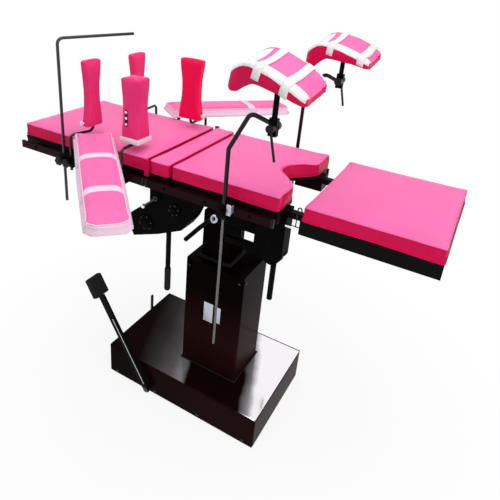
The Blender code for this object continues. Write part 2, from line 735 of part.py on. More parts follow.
def rail_pieces():
    seat_head = HINGE_X + EAR_CLEARANCE
    seat_foot = SEAT_FOOT_X - BOARD_INSET
    back_head = HEAD_END_X + BOARD_INSET
    back_foot = HINGE_X - EAR_CLEARANCE
    for side, word in ((-1, "near"), (1, "far")):
        rail = side_rail(side, seat_head, seat_foot, spread(seat_head, seat_foot, SEAT_SPACERS))
        kidney_x = (KIDNEY_HEAD_X + KIDNEY_FOOT_X) / 2
        runner = side_block(side, kidney_x - KIDNEY_RUNNER_WIDTH / 2,
                            kidney_x + KIDNEY_RUNNER_WIDTH / 2,
                            KIDNEY_POST_Y - KIDNEY_RUNNER_WIDTH / 2, BEAM_INNER + OVERRUN,
                            BEAM_TOP - KIDNEY_RUNNER_HEIGHT, BEAM_TOP)
        runner_bore = rod((kidney_x, side * KIDNEY_POST_Y, BEAM_BOTTOM - OVERRUN),
                          (kidney_x, side * KIDNEY_POST_Y, BEAM_TOP + OVERRUN),
                          KIDNEY_POST_RADIUS + RUN_GAP)
        ear_inner = PAD_WIDTH / 2 + PAD_SIDE_GAP
        strap = hinge_strap(side, ear_inner, 1)
        bore = rod((HINGE_X, side * (ear_inner - OVERRUN), HINGE_Z),
                   (HINGE_X, side * (ear_inner + EAR_THICKNESS + OVERRUN), HINGE_Z),
                   HINGE_PIN_RADIUS + RUN_GAP)
        union(rail, runner, cut(strap, bore))
        cut(rail, runner_bore)
        if side == 1:
            union(rail, leg_socket(side, FAR_SOCKET_BOTTOM, 0.0))
        keep(rail, f"seat_rail_{word}", black_paint(), smooth=False)

        rail = side_rail(side, back_head, back_foot, spread(back_head, back_foot, BACK_SPACERS))
        outer_strap = ear_inner + EAR_THICKNESS + RUN_GAP
        strap = hinge_strap(side, outer_strap, -1)
        pin = rod((HINGE_X, side * ear_inner, HINGE_Z),
                  (HINGE_X, side * (outer_strap + EAR_THICKNESS + HINGE_PIN_HEAD), HINGE_Z),
                  HINGE_PIN_RADIUS)
        union(rail, strap, pin)
        keep(rail, f"back_rail_{word}", black_paint(), smooth=False)


def leg_socket(side, bottom, taper):
    """The block that a plug-in arm of the leg section slides into."""
    inner, outer = SOCKET_Y - SOCKET_WIDTH / 2, SOCKET_Y + SOCKET_WIDTH / 2
    if side == 1:
        outer = BEAM_INNER + OVERRUN
    shape = side_block(side, SOCKET_HEAD_X, SOCKET_FOOT_X, inner, outer, bottom + taper, BEAM_TOP)
    if taper:
        shoulder = bottom + SOCKET_NECK_SHARE * taper
        neck = [(SOCKET_HEAD_X, shoulder), (SOCKET_FOOT_X, shoulder),
                (SOCKET_FOOT_X, bottom + taper), (LOCK_X + HANDLE_EYE_RADIUS / 2, bottom),
                (LOCK_X - HANDLE_EYE_RADIUS / 2, bottom), (SOCKET_HEAD_X, bottom + taper)]
        union(shape, slab(neck, SOCKET_WIDTH, upright(side * SOCKET_Y)))
    arm = side_block(side, SOCKET_HEAD_X - OVERRUN, SOCKET_FOOT_X + OVERRUN,
                     SOCKET_Y - ARM_WIDTH / 2 - RUN_GAP, SOCKET_Y + ARM_WIDTH / 2 + RUN_GAP,
                     ARM_Z - ARM_HEIGHT / 2 - RUN_GAP, ARM_Z + ARM_HEIGHT / 2 + RUN_GAP)
    return cut(shape, arm)


def table_top_pieces():
    half = PAD_WIDTH / 2
    edge = half - BOARD_INSET
    seat_pieces()
    back_pad = pillow((HEAD_END_X, -half, PAD_BOTTOM), (BACK_FOOT_X, half, PAD_TOP), (7, 5, 1),
                      PAD_CROWN, PAD_DRAW, PAD_ROUND)
    keep(back_pad, "back_pad", pink_vinyl())
    board = box((HEAD_END_X + BOARD_INSET, -edge, BOARD_BOTTOM), (BACK_FOOT_X, edge, BOARD_TOP))
    keep(board, "back_frame", black_paint(), smooth=False)
    kidney = pillow((KIDNEY_HEAD_X, -half, PAD_BOTTOM), (KIDNEY_FOOT_X, half, PAD_TOP), (1, 5, 1),
                    PAD_CROWN, PAD_DRAW / 2, PAD_ROUND)
    keep(kidney, "kidney_pad", pink_vinyl())
    leg_pad = pillow((LEG_HEAD_X, -half, PAD_BOTTOM - LEG_DROP), (LEG_FOOT_X, half, PAD_TOP - LEG_DROP),
                     (6, 5, 1), PAD_CROWN, PAD_DRAW, PAD_ROUND)
    keep(leg_pad, "leg_pad", pink_vinyl())
    leg_board = box((LEG_HEAD_X, -edge, BOARD_BOTTOM - LEG_DROP),
                    (LEG_FOOT_X - BOARD_INSET, edge, BOARD_TOP - LEG_DROP))
    for side in (-1, 1):
        arm = side_block(side, ARM_TIP_X, LEG_HEAD_X + LEG_ARM_OVERLAP,
                         SOCKET_Y - ARM_WIDTH / 2, SOCKET_Y + ARM_WIDTH / 2,
                         ARM_Z - ARM_HEIGHT / 2, ARM_Z + ARM_HEIGHT / 2)
        skirt = side_block(side, LEG_HEAD_X, LEG_FOOT_X - BOARD_INSET, edge - SKIRT_WALL, edge,
                           SKIRT_BOTTOM, BOARD_TOP - LEG_DROP - OVERRUN)
        union(leg_board, arm, skirt)
    keep(leg_board, "leg_frame", black_paint(), smooth=False)

    kidney_x = (KIDNEY_HEAD_X + KIDNEY_FOOT_X) / 2
    carrier = box((KIDNEY_HEAD_X, -edge, BOARD_BOTTOM), (KIDNEY_FOOT_X, edge, BOARD_TOP))
    for side in (-1, 1):
        union(carrier, rod((kidney_x, side * KIDNEY_POST_Y, KIDNEY_POST_FOOT),
                           (kidney_x, side * KIDNEY_POST_Y, BOARD_TOP - OVERRUN),
                           KIDNEY_POST_RADIUS))
    keep(carrier, "kidney_carrier", black_paint())
    rail_pieces()


def hanging_handle(x, y, pivot_z, length, name):
    """A black grip that hangs from an eye, whose pin runs across the table."""
    eye = rod((x, y - HANDLE_EYE_WIDTH / 2, pivot_z), (x, y + HANDLE_EYE_WIDTH / 2, pivot_z),
              HANDLE_EYE_RADIUS)
    grip = rod((x, y, pivot_z - HANDLE_EYE_RADIUS / 2), (x, y, pivot_z - length), HANDLE_RADIUS)
    bore = rod((x, y - HANDLE_EYE_WIDTH, pivot_z), (x, y + HANDLE_EYE_WIDTH, pivot_z),
               HANDLE_PIN_RADIUS + RUN_GAP)
    return keep(cut(union(eye, grip), bore), name, black_paint())


def handle_slot(x, y, pivot_z, low_x, high_x):
    """The slot in a housing in which a handle's eye turns, as a cutter."""
    half = HANDLE_EYE_WIDTH / 2 + RUN_GAP
    reach = HANDLE_EYE_RADIUS + OVERRUN
    return box((low_x, y - half, pivot_z - 3 * reach), (high_x, y + half, pivot_z + reach))


def gear_pieces():
    outline = [(HOUSING_HEAD_X + HOUSING_LENGTH * along, HOUSING_FOOT_Z + HOUSING_HEIGHT * up)
               for along, up in HOUSING_OUTLINE_SHARES]
    housing = slab(outline, HOUSING_WIDTH, upright(HOUSING_Y))
    reach = HANDLE_EYE_RADIUS + OVERRUN
    cut(housing, handle_slot(HANDLE_X, HOUSING_Y, HANDLE_PIVOT_Z, HANDLE_X - 2 * reach,
                             HANDLE_X + 2 * reach))
    pin_half = HANDLE_EYE_WIDTH
    pin = rod((HANDLE_X, HOUSING_Y - pin_half, HANDLE_PIVOT_Z),
              (HANDLE_X, HOUSING_Y + pin_half, HANDLE_PIVOT_Z), HANDLE_PIN_RADIUS)
    side_face = HOUSING_Y - HOUSING_WIDTH / 2
    stud = rod((LEVER_TOP[0], side_face + OVERRUN, LEVER_TOP[1]),
               (LEVER_TOP[0], LEVER_Y - LEVER_HUB_WIDTH / 2, LEVER_TOP[1]), LEVER_RADIUS)
    keep(union(housing, pin, stud), "gear_housing", black_paint(), smooth=False)
    hanging_handle(HANDLE_X, HOUSING_Y, HANDLE_PIVOT_Z, HANDLE_LENGTH, "crank_handle")

    hub = rod((LEVER_TOP[0], LEVER_Y - LEVER_HUB_WIDTH / 2, LEVER_TOP[1]),
              (LEVER_TOP[0], LEVER_Y + LEVER_HUB_WIDTH / 2, LEVER_TOP[1]), LEVER_HUB_RADIUS)
    arm = rod((LEVER_TOP[0], LEVER_Y, LEVER_TOP[1]), (LEVER_TIP[0], LEVER_Y, LEVER_TIP[1]),
              LEVER_RADIUS)
    bore = rod((LEVER_TOP[0], LEVER_Y - LEVER_HUB_WIDTH, LEVER_TOP[1]),
               (LEVER_TOP[0], LEVER_Y + LEVER_HUB_WIDTH, LEVER_TOP[1]), LEVER_RADIUS + RUN_GAP)
    keep(cut(union(hub, arm), bore), "tilt_lever", dark_chrome())

    socket = leg_socket(-1, SOCKET_BOTTOM, SOCKET_TAPER)
    cut(socket, handle_slot(LOCK_X, -SOCKET_Y, LOCK_PIVOT_Z, LOCK_X - reach, SOCKET_FOOT_X + OVERRUN))
    lock_pin = rod((LOCK_X, -SOCKET_Y - pin_half, LOCK_PIVOT_Z),
                   (LOCK_X, -SOCKET_Y + pin_half, LOCK_PIVOT_Z), HANDLE_PIN_RADIUS)
    keep(union(socket, lock_pin), "leg_socket", black_paint(), smooth=False)
    hanging_handle(LOCK_X, -SOCKET_Y, LOCK_PIVOT_Z, LOCK_LENGTH, "leg_lock_handle")


def rail_clamp(x, side, bore_radius, knob_turn=0.0, tall=0.0):
    """A clamp that grips the rail, with an upright bore for a rod and a screw knob outside."""
    half = CLAMP_LENGTH / 2
    body = side_block(side, x - half, x + half, RAIL_INNER, CLAMP_OUTER,
                      RAIL_BOTTOM - CLAMP_JAW - tall, RAIL_TOP + CLAMP_JAW)
    rail = side_block(side, x - half - OVERRUN, x + half + OVERRUN, RAIL_INNER - OVERRUN,
                      RAIL_OUTER + CLAMP_SLACK, RAIL_BOTTOM - CLAMP_SLACK, RAIL_TOP + CLAMP_SLACK)
    bore = rod((x, side * ROD_Y, RAIL_BOTTOM - 2 * CLAMP_JAW - tall),
               (x, side * ROD_Y, RAIL_TOP + 2 * CLAMP_JAW), bore_radius + RUN_GAP)
    cut(body, rail, bore)
    middle = (RAIL_BOTTOM + RAIL_TOP) / 2 - tall / 2
    knob = rod((x + knob_turn, side * (CLAMP_OUTER - CLAMP_SLACK), middle),
               (x + knob_turn, side * (CLAMP_OUTER + CLAMP_KNOB_LENGTH), middle),
               CLAMP_KNOB_RADIUS / 2, CLAMP_KNOB_RADIUS)
    return union(body, knob)


def arm_end(place, u, v, w):
    """Tapers an arm board's cushion to its free end."""
    share = max(0.0, (u + 1) / 2 - ARM_TAPER_START) / (1 - ARM_TAPER_START)
    corner = ARM_CORNER * v ** 4 * (u > RIM_SHARE)
    return Vector((place.x - corner, place.y * (1 - ARM_END_SHARE * share), place.z))


def arm_board_pieces():
    for held in ARM_BOARDS:
        side, word = held["side"], held["word"]
        keep(rail_clamp(ARM_RAIL_X, side, ARM_PIN_RADIUS), f"arm_clamp_{word}", black_paint(),
             smooth=False)
        turn = (Matrix.Translation((ARM_RAIL_X, side * ROD_Y, ARM_PAD_TOP))
                @ Matrix.Rotation(side * math.radians(held["angle"]), 4, "Z")
                @ Matrix.Rotation(math.radians(held["droop"]), 4, "Y"))
        half = ARM_PAD_WIDTH / 2
        reach = held["reach"]
        pad = pillow((-ARM_TAIL, -half, -ARM_PAD_THICKNESS), (reach, half, 0), (7, 3, 1),
                     PAD_CROWN, PAD_DRAW, PAD_ROUND, arm_end)
        pad.data.transform(turn)
        keep(pad, f"arm_pad_{word}", pink_vinyl())
        foot = -ARM_PAD_THICKNESS - GAP
        tail, edge = -ARM_TAIL + ARM_BOARD_INSET, half - ARM_BOARD_INSET
        bend = tail + (reach - ARM_BOARD_INSET - tail) * ARM_TAPER_START
        end_edge = edge * (1 - ARM_END_SHARE)
        tip = reach - ARM_BOARD_INSET
        outline = [(tail, -edge), (bend, -edge), (tip - ARM_CORNER, -end_edge),
                   (tip, -end_edge + ARM_CORNER), (tip, end_edge - ARM_CORNER),
                   (tip - ARM_CORNER, end_edge), (bend, edge), (tail, edge)]
        board = slab(outline, ARM_BOARD_THICKNESS,
                     Matrix.Translation((0, 0, foot - ARM_BOARD_THICKNESS / 2)))
        board.matrix_world = Matrix.Identity(4)
        board.data.transform(turn @ Matrix.Translation((0, 0, foot - ARM_BOARD_THICKNESS / 2)))
        top = ARM_PAD_TOP - ARM_PAD_THICKNESS - ARM_BOARD_THICKNESS / 2
        pin = rod((ARM_RAIL_X, side * ROD_Y, ARM_PIN_FOOT), (ARM_RAIL_X, side * ROD_Y, top),
                  ARM_PIN_RADIUS)
        keep(union(board, pin), f"arm_board_{word}", black_paint())


def waisted(size):
    """Narrows a support cushion at its middle and rounds its top in plan."""
    def shape_at(place, u, v, w):
        pinch = 1 - SUPPORT_WAIST_SHARE * math.cos(w * math.pi / 2) ** 2
        return Vector((place.x, place.y * pinch, place.z)) if size[1] > size[0] else \
            Vector((place.x * pinch, place.y, place.z))
    return shape_at


def support_pieces():
    for number, support in enumerate(SUPPORTS, 1):
        x, side = support["rail_x"], support["side"]
        pad_x, inset = support["pad"]
        pad_y = side * (PAD_WIDTH / 2 - inset)
        keep(rail_clamp(x, side, SUPPORT_ROD_RADIUS), f"support_clamp_{number}", black_paint(),
             smooth=False)
        route = [(x, side * ROD_Y, SUPPORT_ROD_FOOT), (x, side * ROD_Y, SUPPORT_ARM_Z),
                 (pad_x, pad_y, SUPPORT_ARM_Z), (pad_x, pad_y, SUPPORT_STEM_TOP)]
        keep(bent_rod(route, SUPPORT_ROD_RADIUS, SUPPORT_BEND), f"support_rod_{number}",
             dark_chrome())
        half_x, half_y = support["size"][0] / 2, support["size"][1] / 2
        pad = pillow((pad_x - half_x, pad_y - half_y, SUPPORT_PAD_FOOT),
                     (pad_x + half_x, pad_y + half_y, support["top"]), (2, 2, 7),
                     PAD_CROWN, PAD_DRAW, PAD_ROUND, waisted(support["size"]))
        socket = rod((pad_x, pad_y, SUPPORT_PAD_FOOT - OVERRUN),
                     (pad_x, pad_y, SUPPORT_STEM_TOP + RUN_GAP), SUPPORT_ROD_RADIUS + RUN_GAP)
        keep(cut(pad, socket), f"support_pad_{number}", crimson_vinyl())


def screen_pieces():
    clamp = rail_clamp(SCREEN_X, -1, SCREEN_ROD_RADIUS)
    keep(clamp, "screen_clamp", black_paint(), smooth=False)
    turn = math.radians(SCREEN_ARM_ANGLE)
    tip = (SCREEN_X + SCREEN_ARM * math.sin(turn), -ROD_Y + SCREEN_ARM * math.cos(turn), SCREEN_TOP)
    route = [(SCREEN_X, -ROD_Y, SCREEN_FOOT), (SCREEN_X, -ROD_Y, SCREEN_TOP), tip]
    keep(bent_rod(route, SCREEN_ROD_RADIUS, SCREEN_BEND), "screen_rod", dark_chrome())


def crutch_pieces():
    for held in CRUTCHES:
        side, word, x, eye_z = held["side"], held["word"], held["rail_x"], held["eye"]
        y = side * ROD_Y
        keep(rail_clamp(x, side, CRUTCH_ROD_RADIUS), f"crutch_clamp_{word}", black_paint(),
             smooth=False)
        tail = rod((x, y, held["foot"]), (x, y, CRUTCH_TAIL_TOP + OVERRUN), CRUTCH_TAIL_RADIUS)
        route = [(x, y, CRUTCH_TAIL_TOP), (x, y, eye_z - CRUTCH_SHOULDER_DROP),
                 (x + CRUTCH_CREST_REACH, y, eye_z + CRUTCH_CREST_RISE), (CRUTCH_EYE_X, y, eye_z)]
        post = bent_rod(route, CRUTCH_ROD_RADIUS, CRUTCH_BEND)
        half = CRUTCH_EYE_WIDTH / 2
        eye = rod((CRUTCH_EYE_X, y - half, eye_z), (CRUTCH_EYE_X, y + half, eye_z),
                  CRUTCH_EYE_RADIUS)
        lug_inner = ROD_Y + half + GAP
        lug_outer = lug_inner + CRUTCH_LUG_WIDTH
        knob_inner = lug_outer + GAP
        knob_outer = knob_inner + KNOB_LENGTH
        pin = rod((CRUTCH_EYE_X, y, eye_z), (CRUTCH_EYE_X, side * knob_outer, eye_z),
                  KNOB_STUD_RADIUS)
        keep(union(post, tail, eye, pin), f"crutch_rod_{word}", dark_chrome())
        stem_y = side * (lug_inner + lug_outer) / 2
        crutch_stem(held, stem_y, lug_inner, lug_outer)
        crutch_knob(held, knob_inner, knob_outer)
        pad = crutch_pad()
        pad.data.transform(crutch_place(held, stem_y))
        keep(pad, f"crutch_pad_{word}", crimson_vinyl())


def crutch_place(held, y):
    """Where a crutch's pad sits: over its stem, tipped to the foot end and rolled to the near side."""
    return (Matrix.Translation((CRUTCH_EYE_X, y, held["pad"]))
            @ Matrix.Rotation(math.radians(held["tip"]), 4, "Y")
            @ Matrix.Rotation(math.radians(CRUTCH_ROLL), 4, "X"))


def crutch_stem(held, y, lug_inner, lug_outer):
    """The lug on the joint, the stem above it and the plate that the pad is screwed to."""
    side, eye_z = held["side"], held["eye"]
    lug = side_block(side, CRUTCH_EYE_X - CRUTCH_LUG_HALF_LENGTH,
                     CRUTCH_EYE_X + CRUTCH_LUG_HALF_LENGTH, lug_inner, lug_outer,
                     eye_z - CRUTCH_LUG_HALF_HEIGHT, eye_z + CRUTCH_LUG_HALF_HEIGHT)
    stem = rod((CRUTCH_EYE_X, y, eye_z), (CRUTCH_EYE_X, y, held["pad"] - CRUTCH_PAD_PLATE / 2),
               CRUTCH_STEM_RADIUS)
    plate = box((CRUTCH_PLATE_HEAD, -CRUTCH_PLATE_WIDTH / 2, -CRUTCH_PAD_PLATE - GAP),
                (CRUTCH_PLATE_FOOT, CRUTCH_PLATE_WIDTH / 2, -GAP))
    plate.data.transform(crutch_place(held, y))
    bore = rod((CRUTCH_EYE_X, side * (lug_inner - OVERRUN), eye_z),
               (CRUTCH_EYE_X, side * (lug_outer + OVERRUN), eye_z), KNOB_STUD_RADIUS + RUN_GAP)
    keep(cut(union(lug, stem, plate), bore), f"crutch_stem_{held['word']}", black_paint())


def crutch_knob(held, knob_inner, knob_outer):
    """The clamping knob on the joint's pin, with its short lever."""
    side, eye_z = held["side"], held["eye"]
    middle = side * (knob_inner + knob_outer) / 2
    knob = rod((CRUTCH_EYE_X, side * knob_inner, eye_z), (CRUTCH_EYE_X, side * knob_outer, eye_z),
               KNOB_RADIUS)
    lever = rod((CRUTCH_EYE_X, middle, eye_z - KNOB_RADIUS / 2),
                (CRUTCH_EYE_X + CRUTCH_LEVER_REACH, middle, eye_z - CRUTCH_LEVER_DROP),
                LEVER_RADIUS)
    bore = rod((CRUTCH_EYE_X, side * (knob_inner - OVERRUN), eye_z),
               (CRUTCH_EYE_X, side * (knob_outer + OVERRUN), eye_z), KNOB_STUD_RADIUS + RUN_GAP)
    keep(cut(union(knob, lever), bore), f"crutch_knob_{held['word']}", black_paint())


def crutch_pad():
    """A saddle cushion on a measured profile: hooked at the head end, thinner to the foot, dished."""
    half_w = CRUTCH_PAD_WIDTH / 2
    last = len(CRUTCH_PROFILE) - 1

    def shape_at(place, u, v, w):
        low, high = CRUTCH_PROFILE[round((u + 1) / 2 * last)]
        narrow = 1 - CRUTCH_END_SHARE * abs(u) ** 6
        dish = CRUTCH_PAD_DISH * (1 - v * v) * (w + 1) / 2
        return Vector((place.x, place.y * narrow, low + (high - low) * (w + 1) / 2 - dish))

    return pillow((CRUTCH_PAD_HEAD, -half_w, -1.0),
                  (CRUTCH_PAD_HEAD + CRUTCH_PAD_LENGTH, half_w, 1.0),
                  (last - 1, 4, 1), 0.0, 0.0, CRUTCH_PAD_ROUND, shape_at)


def foot_control_pieces():
    x, z = PUMP_PIVOT
    turn = math.radians(PUMP_ANGLE)
    along = Vector((math.cos(turn), 0, math.sin(turn)))
    half_t = PUMP_BAR_THICKNESS / 2
    bar = box((0, -half_t, -PUMP_BAR_WIDTH / 2), (PUMP_LENGTH, half_t, PUMP_BAR_WIDTH / 2))
    bar.data.transform(Matrix.Translation((x, PUMP_LEVER_Y, z))
                       @ Matrix.Rotation(-turn, 4, "Y"))
    hub = rod((x, PUMP_LEVER_Y - half_t, z), (x, PUMP_LEVER_Y + half_t, z), PUMP_BAR_WIDTH / 2)
    pump_face = PUMP_Y - PUMP_SIZE[1] / 2
    pin = rod((x, PUMP_LEVER_Y - half_t - RUN_GAP, z), (x, pump_face - GAP, z), PUMP_PIN_RADIUS)
    keep(union(bar, hub, pin), "pump_lever", black_paint())
    end = Vector((x, PUMP_LEVER_Y, z)) + along * (PUMP_LENGTH + GAP)
    pedal = box((0, -PEDAL_WIDTH / 2, -PEDAL_THICKNESS / 2),
                (PEDAL_LENGTH, PEDAL_WIDTH / 2, PEDAL_THICKNESS / 2), COVER_ROUND)
    pedal.data.transform(Matrix.Translation(end) @ Matrix.Rotation(-turn, 4, "Y"))
    keep(pedal, "pump_pedal", black_rubber())

    half = RELEASE_WIDTH / 2
    low, high = RELEASE_PIVOT_Z - RELEASE_THICKNESS / 2, RELEASE_PIVOT_Z + RELEASE_THICKNESS / 2
    head = BASE_HEAD_X - RELEASE_REACH
    bar = box((head, RELEASE_Y - half, low),
              (RELEASE_PIVOT_X + RELEASE_PIN_RADIUS, RELEASE_Y + half, high))
    post = box((head, RELEASE_Y - half, low), (head + RELEASE_THICKNESS, RELEASE_Y + half, RELEASE_TOP))
    pin = rod((RELEASE_PIVOT_X, RELEASE_Y, RELEASE_PIVOT_Z),
              (RELEASE_PIVOT_X, RELEASE_LUG_Y + RELEASE_LUG_WIDTH, RELEASE_PIVOT_Z), RELEASE_PIN_RADIUS)
    keep(union(bar, post, pin), "release_pedal", dark_chrome(), smooth=False)


def new_collection(name):
    made = bpy.data.collections.new(name)
    bpy.context.scene.collection.children.link(made)
    return made


def main():
    global parts
    for held in list(bpy.data.objects):
        bpy.data.objects.remove(held)
    bpy.context.scene.unit_settings.system = "METRIC"
    parts = new_collection("obstetric_table")
    base_pieces()
    column_pieces()
    head_pieces()
    table_top_pieces()
    gear_pieces()
    arm_board_pieces()
    support_pieces()
    screen_pieces()
    crutch_pieces()
    foot_control_pieces()


main()
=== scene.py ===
"""Looks of the obstetric delivery table, laid out as a Blender add-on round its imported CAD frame.

Every size is in metres, in the frame's own axes: +X to the foot end, -Y to the operator, +Z up.
"""

import math

import bmesh
import bpy
from bpy.props import FloatProperty, FloatVectorProperty, IntProperty, PointerProperty
from mathutils import Matrix, Vector, noise
from mathutils.bvhtree import BVHTree


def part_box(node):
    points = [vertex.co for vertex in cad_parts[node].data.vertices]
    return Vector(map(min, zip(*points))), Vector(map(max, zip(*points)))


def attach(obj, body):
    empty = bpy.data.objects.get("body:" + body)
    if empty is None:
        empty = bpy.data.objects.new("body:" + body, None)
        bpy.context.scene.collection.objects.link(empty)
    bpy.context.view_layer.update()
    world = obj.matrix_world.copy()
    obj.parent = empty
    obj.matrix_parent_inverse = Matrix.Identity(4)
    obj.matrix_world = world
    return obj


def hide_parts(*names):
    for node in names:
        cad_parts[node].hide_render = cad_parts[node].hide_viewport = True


bl_info = {
    "name": "Obstetric delivery table",
    "version": (1, 0, 0),
    "blender": (4, 5, 0),
    "location": "3D View > Sidebar > Delivery table",
    "description": "Dresses the packed delivery table: upholstery, straps, enamel and fittings",
    "category": "Object",
}

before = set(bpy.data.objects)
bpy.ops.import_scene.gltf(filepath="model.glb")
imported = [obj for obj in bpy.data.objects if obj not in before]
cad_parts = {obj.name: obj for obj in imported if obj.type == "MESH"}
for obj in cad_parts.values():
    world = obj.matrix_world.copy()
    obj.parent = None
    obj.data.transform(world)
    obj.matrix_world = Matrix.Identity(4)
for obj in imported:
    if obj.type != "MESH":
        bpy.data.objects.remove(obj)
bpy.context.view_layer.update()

FINISHES = {}
UP = Vector((0, 0, 1))
NEAR = Vector((0, -1, 0))
FAR = Vector((0, 1, 0))
FOOTWARD = Vector((1, 0, 0))
HEADWARD = Vector((-1, 0, 0))
STILL = Matrix.Identity(4)
SIDES = {-1: "near", 1: "far"}

# Places taken over from the CAD's own named sizes
ROD_Y = 0.2845
RAIL_FACE = 0.272
RAIL_Z = 1.068
CLAMP_FACE = 0.2965
SEAT_CUT_OUT = (
    (0.293, 0.121), (0.252, 0.080), (0.222, 0.050), (0.206, 0.034), (0.200, 0.016),
)
HINGE_EARS_FOOT = 1.0915
ARM_PIVOT_X = -0.460
ARM_PAD_TOP = 1.205
ARM_TAIL = 0.048
ARM_HALF = 0.075
ARM_CORNER = 0.022
ARM_PAD_THICKNESS = 0.034
ARM_TAPER = 0.08
ARM_BOARDS = {
    "near": {"side": -1, "angle": 43.5, "droop": 4.5, "reach": 0.600, "straps": (0.178, 0.412)},
    "far": {"side": 1, "angle": 53.0, "droop": 2.0, "reach": 0.570, "straps": (0.345,)},
}
CRUTCHES = {
    "near": {"side": -1, "pad": 1.536, "tip": 14.0, "straps": (-0.034, 0.054)},
    "far": {"side": 1, "pad": 1.531, "tip": 6.0, "straps": (-0.030, 0.084)},
}
CRUTCH_EYE_X = 0.262
CRUTCH_STEM_Y = 0.3018
CRUTCH_ROLL = 9.0
CRUTCH_CLAMP_FOOT = 1.036
CRUTCH_PAD_HEAD = -0.125
CRUTCH_PAD_FOOT = 0.123
CRUTCH_PAD_HALF = 0.090
CRUTCH_END_SHARE = 0.22
HOUSING_CAPS = ((-0.250, 0.880, 0.034, 0.027), (-0.120, 0.975, 0.026, 0.020))
PUMP_PIVOT = (-0.220, 0.045)
PUMP_ANGLE = 122.0

# The cushions' covers: where a panel counts as top, and the sewing's small relief
TOP_FACING = 0.62
TOP_FOOT_SHARE = 0.35
# On the leg pad, faces that face the foot end this much take the shaded end vinyl: painted shade.
SHADED_END_FACING = 0.6
HELD_FACING = 0.6
FLAT_FACING = 0.5
BACK_SEAM_X = -0.318
SEAM_DEPTH = 0.0016
SEAM_HALF = 0.004
PUCKER_DEPTH = 0.0007
PUCKER_REACH = 0.012
PUCKER_PITCH = 0.023
CREASE_DEPTH = 0.0005
CREASE_PITCH = 0.034
WANDER = 11.0
BLOWING_STEPS = 20
EVENING_ROUNDS = 6
WELD = 0.00002
PIPING_STEP = 0.010

# Straps and bindings
STRAP_SHEET = 0.0014
HEM_STEP = 0.008
STRAP_STEP = 0.006
FAR_BINDING_SHARE = 0.55
HEAD_BINDING_SHARE = 2.1
BINDING_LIFT = 0.0013
CROSS_STRAP_LIFT = 0.0030
CROSS_STRAP_SHEET = 0.0016
LARGEST_STITCH = 0.025
RAY_START = 0.3


def colour_of(name, description, default):
    return FloatVectorProperty(name=name, description=description, default=default,
                               size=3, min=0, max=1, subtype="COLOR")


def length_of(name, description, default, least, most):
    return FloatProperty(name=name, description=description, default=default,
                         min=least, max=most, unit="LENGTH")


class DeliveryTableUpholstery(bpy.types.PropertyGroup):
    """Colours and sizes of the cushions and straps."""

    pink: colour_of("Top panels", "Colour of the vinyl on top of the cushions",
                    (0.97, 0.165, 0.44))
    # The sides' crimson is partly a deeper side vinyl and partly painted shade of the cushions'
    # sides.
    crimson: colour_of("Side panels", "Colour of the vinyl round the sides of the cushions",
                       (0.70, 0.003, 0.082))
    support: colour_of("Support cushions", "Colour of the vinyl on the body supports",
                       (0.88, 0.036, 0.20))
    red_support: colour_of("Red support", "Colour of the vinyl on the far support by the hinge",
                           (0.88, 0.004, 0.085))
    pale: colour_of("Arm cushion sides", "Colour of the pale vinyl round the arm cushions",
                    (0.97, 0.64, 0.80))
    webbing: colour_of("Crutch straps", "Colour of the woven straps and bindings on the crutches",
                       (0.97, 0.93, 0.96))
    arm_webbing: colour_of("Arm straps", "Colour of the woven straps on the arm boards",
                           (0.97, 0.72, 0.90))
    grain: length_of("Grain", "Size of one cell of the vinyl's pressed grain",
                     0.0016, 0.0005, 0.01)
    piping: length_of("Piping", "Radius of the welt sewn into the cushion seams",
                      0.0017, 0.0005, 0.006)
    tuck: length_of("Tuck", "How far a cover is drawn in before its filling pushes it out",
                    0.0024, 0.0, 0.01)
    even: length_of("Mattress mesh step", "Size of the even mesh of the mattress sections",
                    0.0065, 0.004, 0.03)
    fine: length_of("Cushion mesh step", "Size of the even mesh of the small cushions",
                    0.005, 0.004, 0.03)
    pressure: FloatProperty(
        name="Filling pressure", description="How hard the filling presses the panels outwards",
        default=4.0, min=0.0, max=20.0)
    give: length_of("Most give", "The furthest that the filling may push a panel",
                    0.006, 0.0, 0.02)
    strap: length_of("Strap width", "Width of the straps on the arm boards", 0.036, 0.01, 0.06)
    strap_bow: length_of("Strap bow", "How far a strap's ends sit towards the hand",
                         0.014, 0.0, 0.04)
    binding: length_of("Binding width", "Width of the binding on the rims of the crutches",
                       0.026, 0.01, 0.05)
    crutch_strap: length_of("Crutch strap width", "Width of the straps over the crutches",
                            0.024, 0.01, 0.05)


class DeliveryTableMetal(bpy.types.PropertyGroup):
    """Colours of the enamel, castings, bright metal, rubber and plastic."""

    maroon: colour_of("Covers", "Colour of the gloss enamel on the base and column",
                      (0.015, 0.0040, 0.0036))
    black: colour_of("Frames", "Colour of the satin enamel on frames, rails and clamps",
                     (0.0030, 0.0026, 0.0028))
    rail: colour_of("Rails", "Colour of the enamel on the rails and the edges of the frames",
                    (0.012, 0.0010, 0.0026))
    dark_steel: colour_of("Rods", "Tint of the dark plated rods", (0.055, 0.050, 0.054))
    # On the deck this tint also paints reflections, laid where the deck reflects the background.
    bright_steel: colour_of("Bright fittings", "Tint of the polished deck and small fittings",
                            (0.95, 0.93, 0.96))
    plate: colour_of("Bare plates", "Tint of the brushed plates", (0.62, 0.64, 0.70))
    rubber: colour_of("Rubber", "Colour of the feet, seals and treads", (0.012, 0.012, 0.012))
    plastic: colour_of("Plastic", "Colour of the knobs and rail caps", (0.010, 0.010, 0.011))
    pale_plastic: colour_of("Pale plastic", "Colour of the supports' small knobs and foot",
                            (0.80, 0.62, 0.68))
    bolt: length_of("Bolt heads", "Radius of the socket-head bolts on the frames",
                    0.0052, 0.002, 0.01)
    lobes: IntProperty(
        name="Knob lobes", description="Number of lobes round each clamping knob",
        default=6, min=3, max=12)


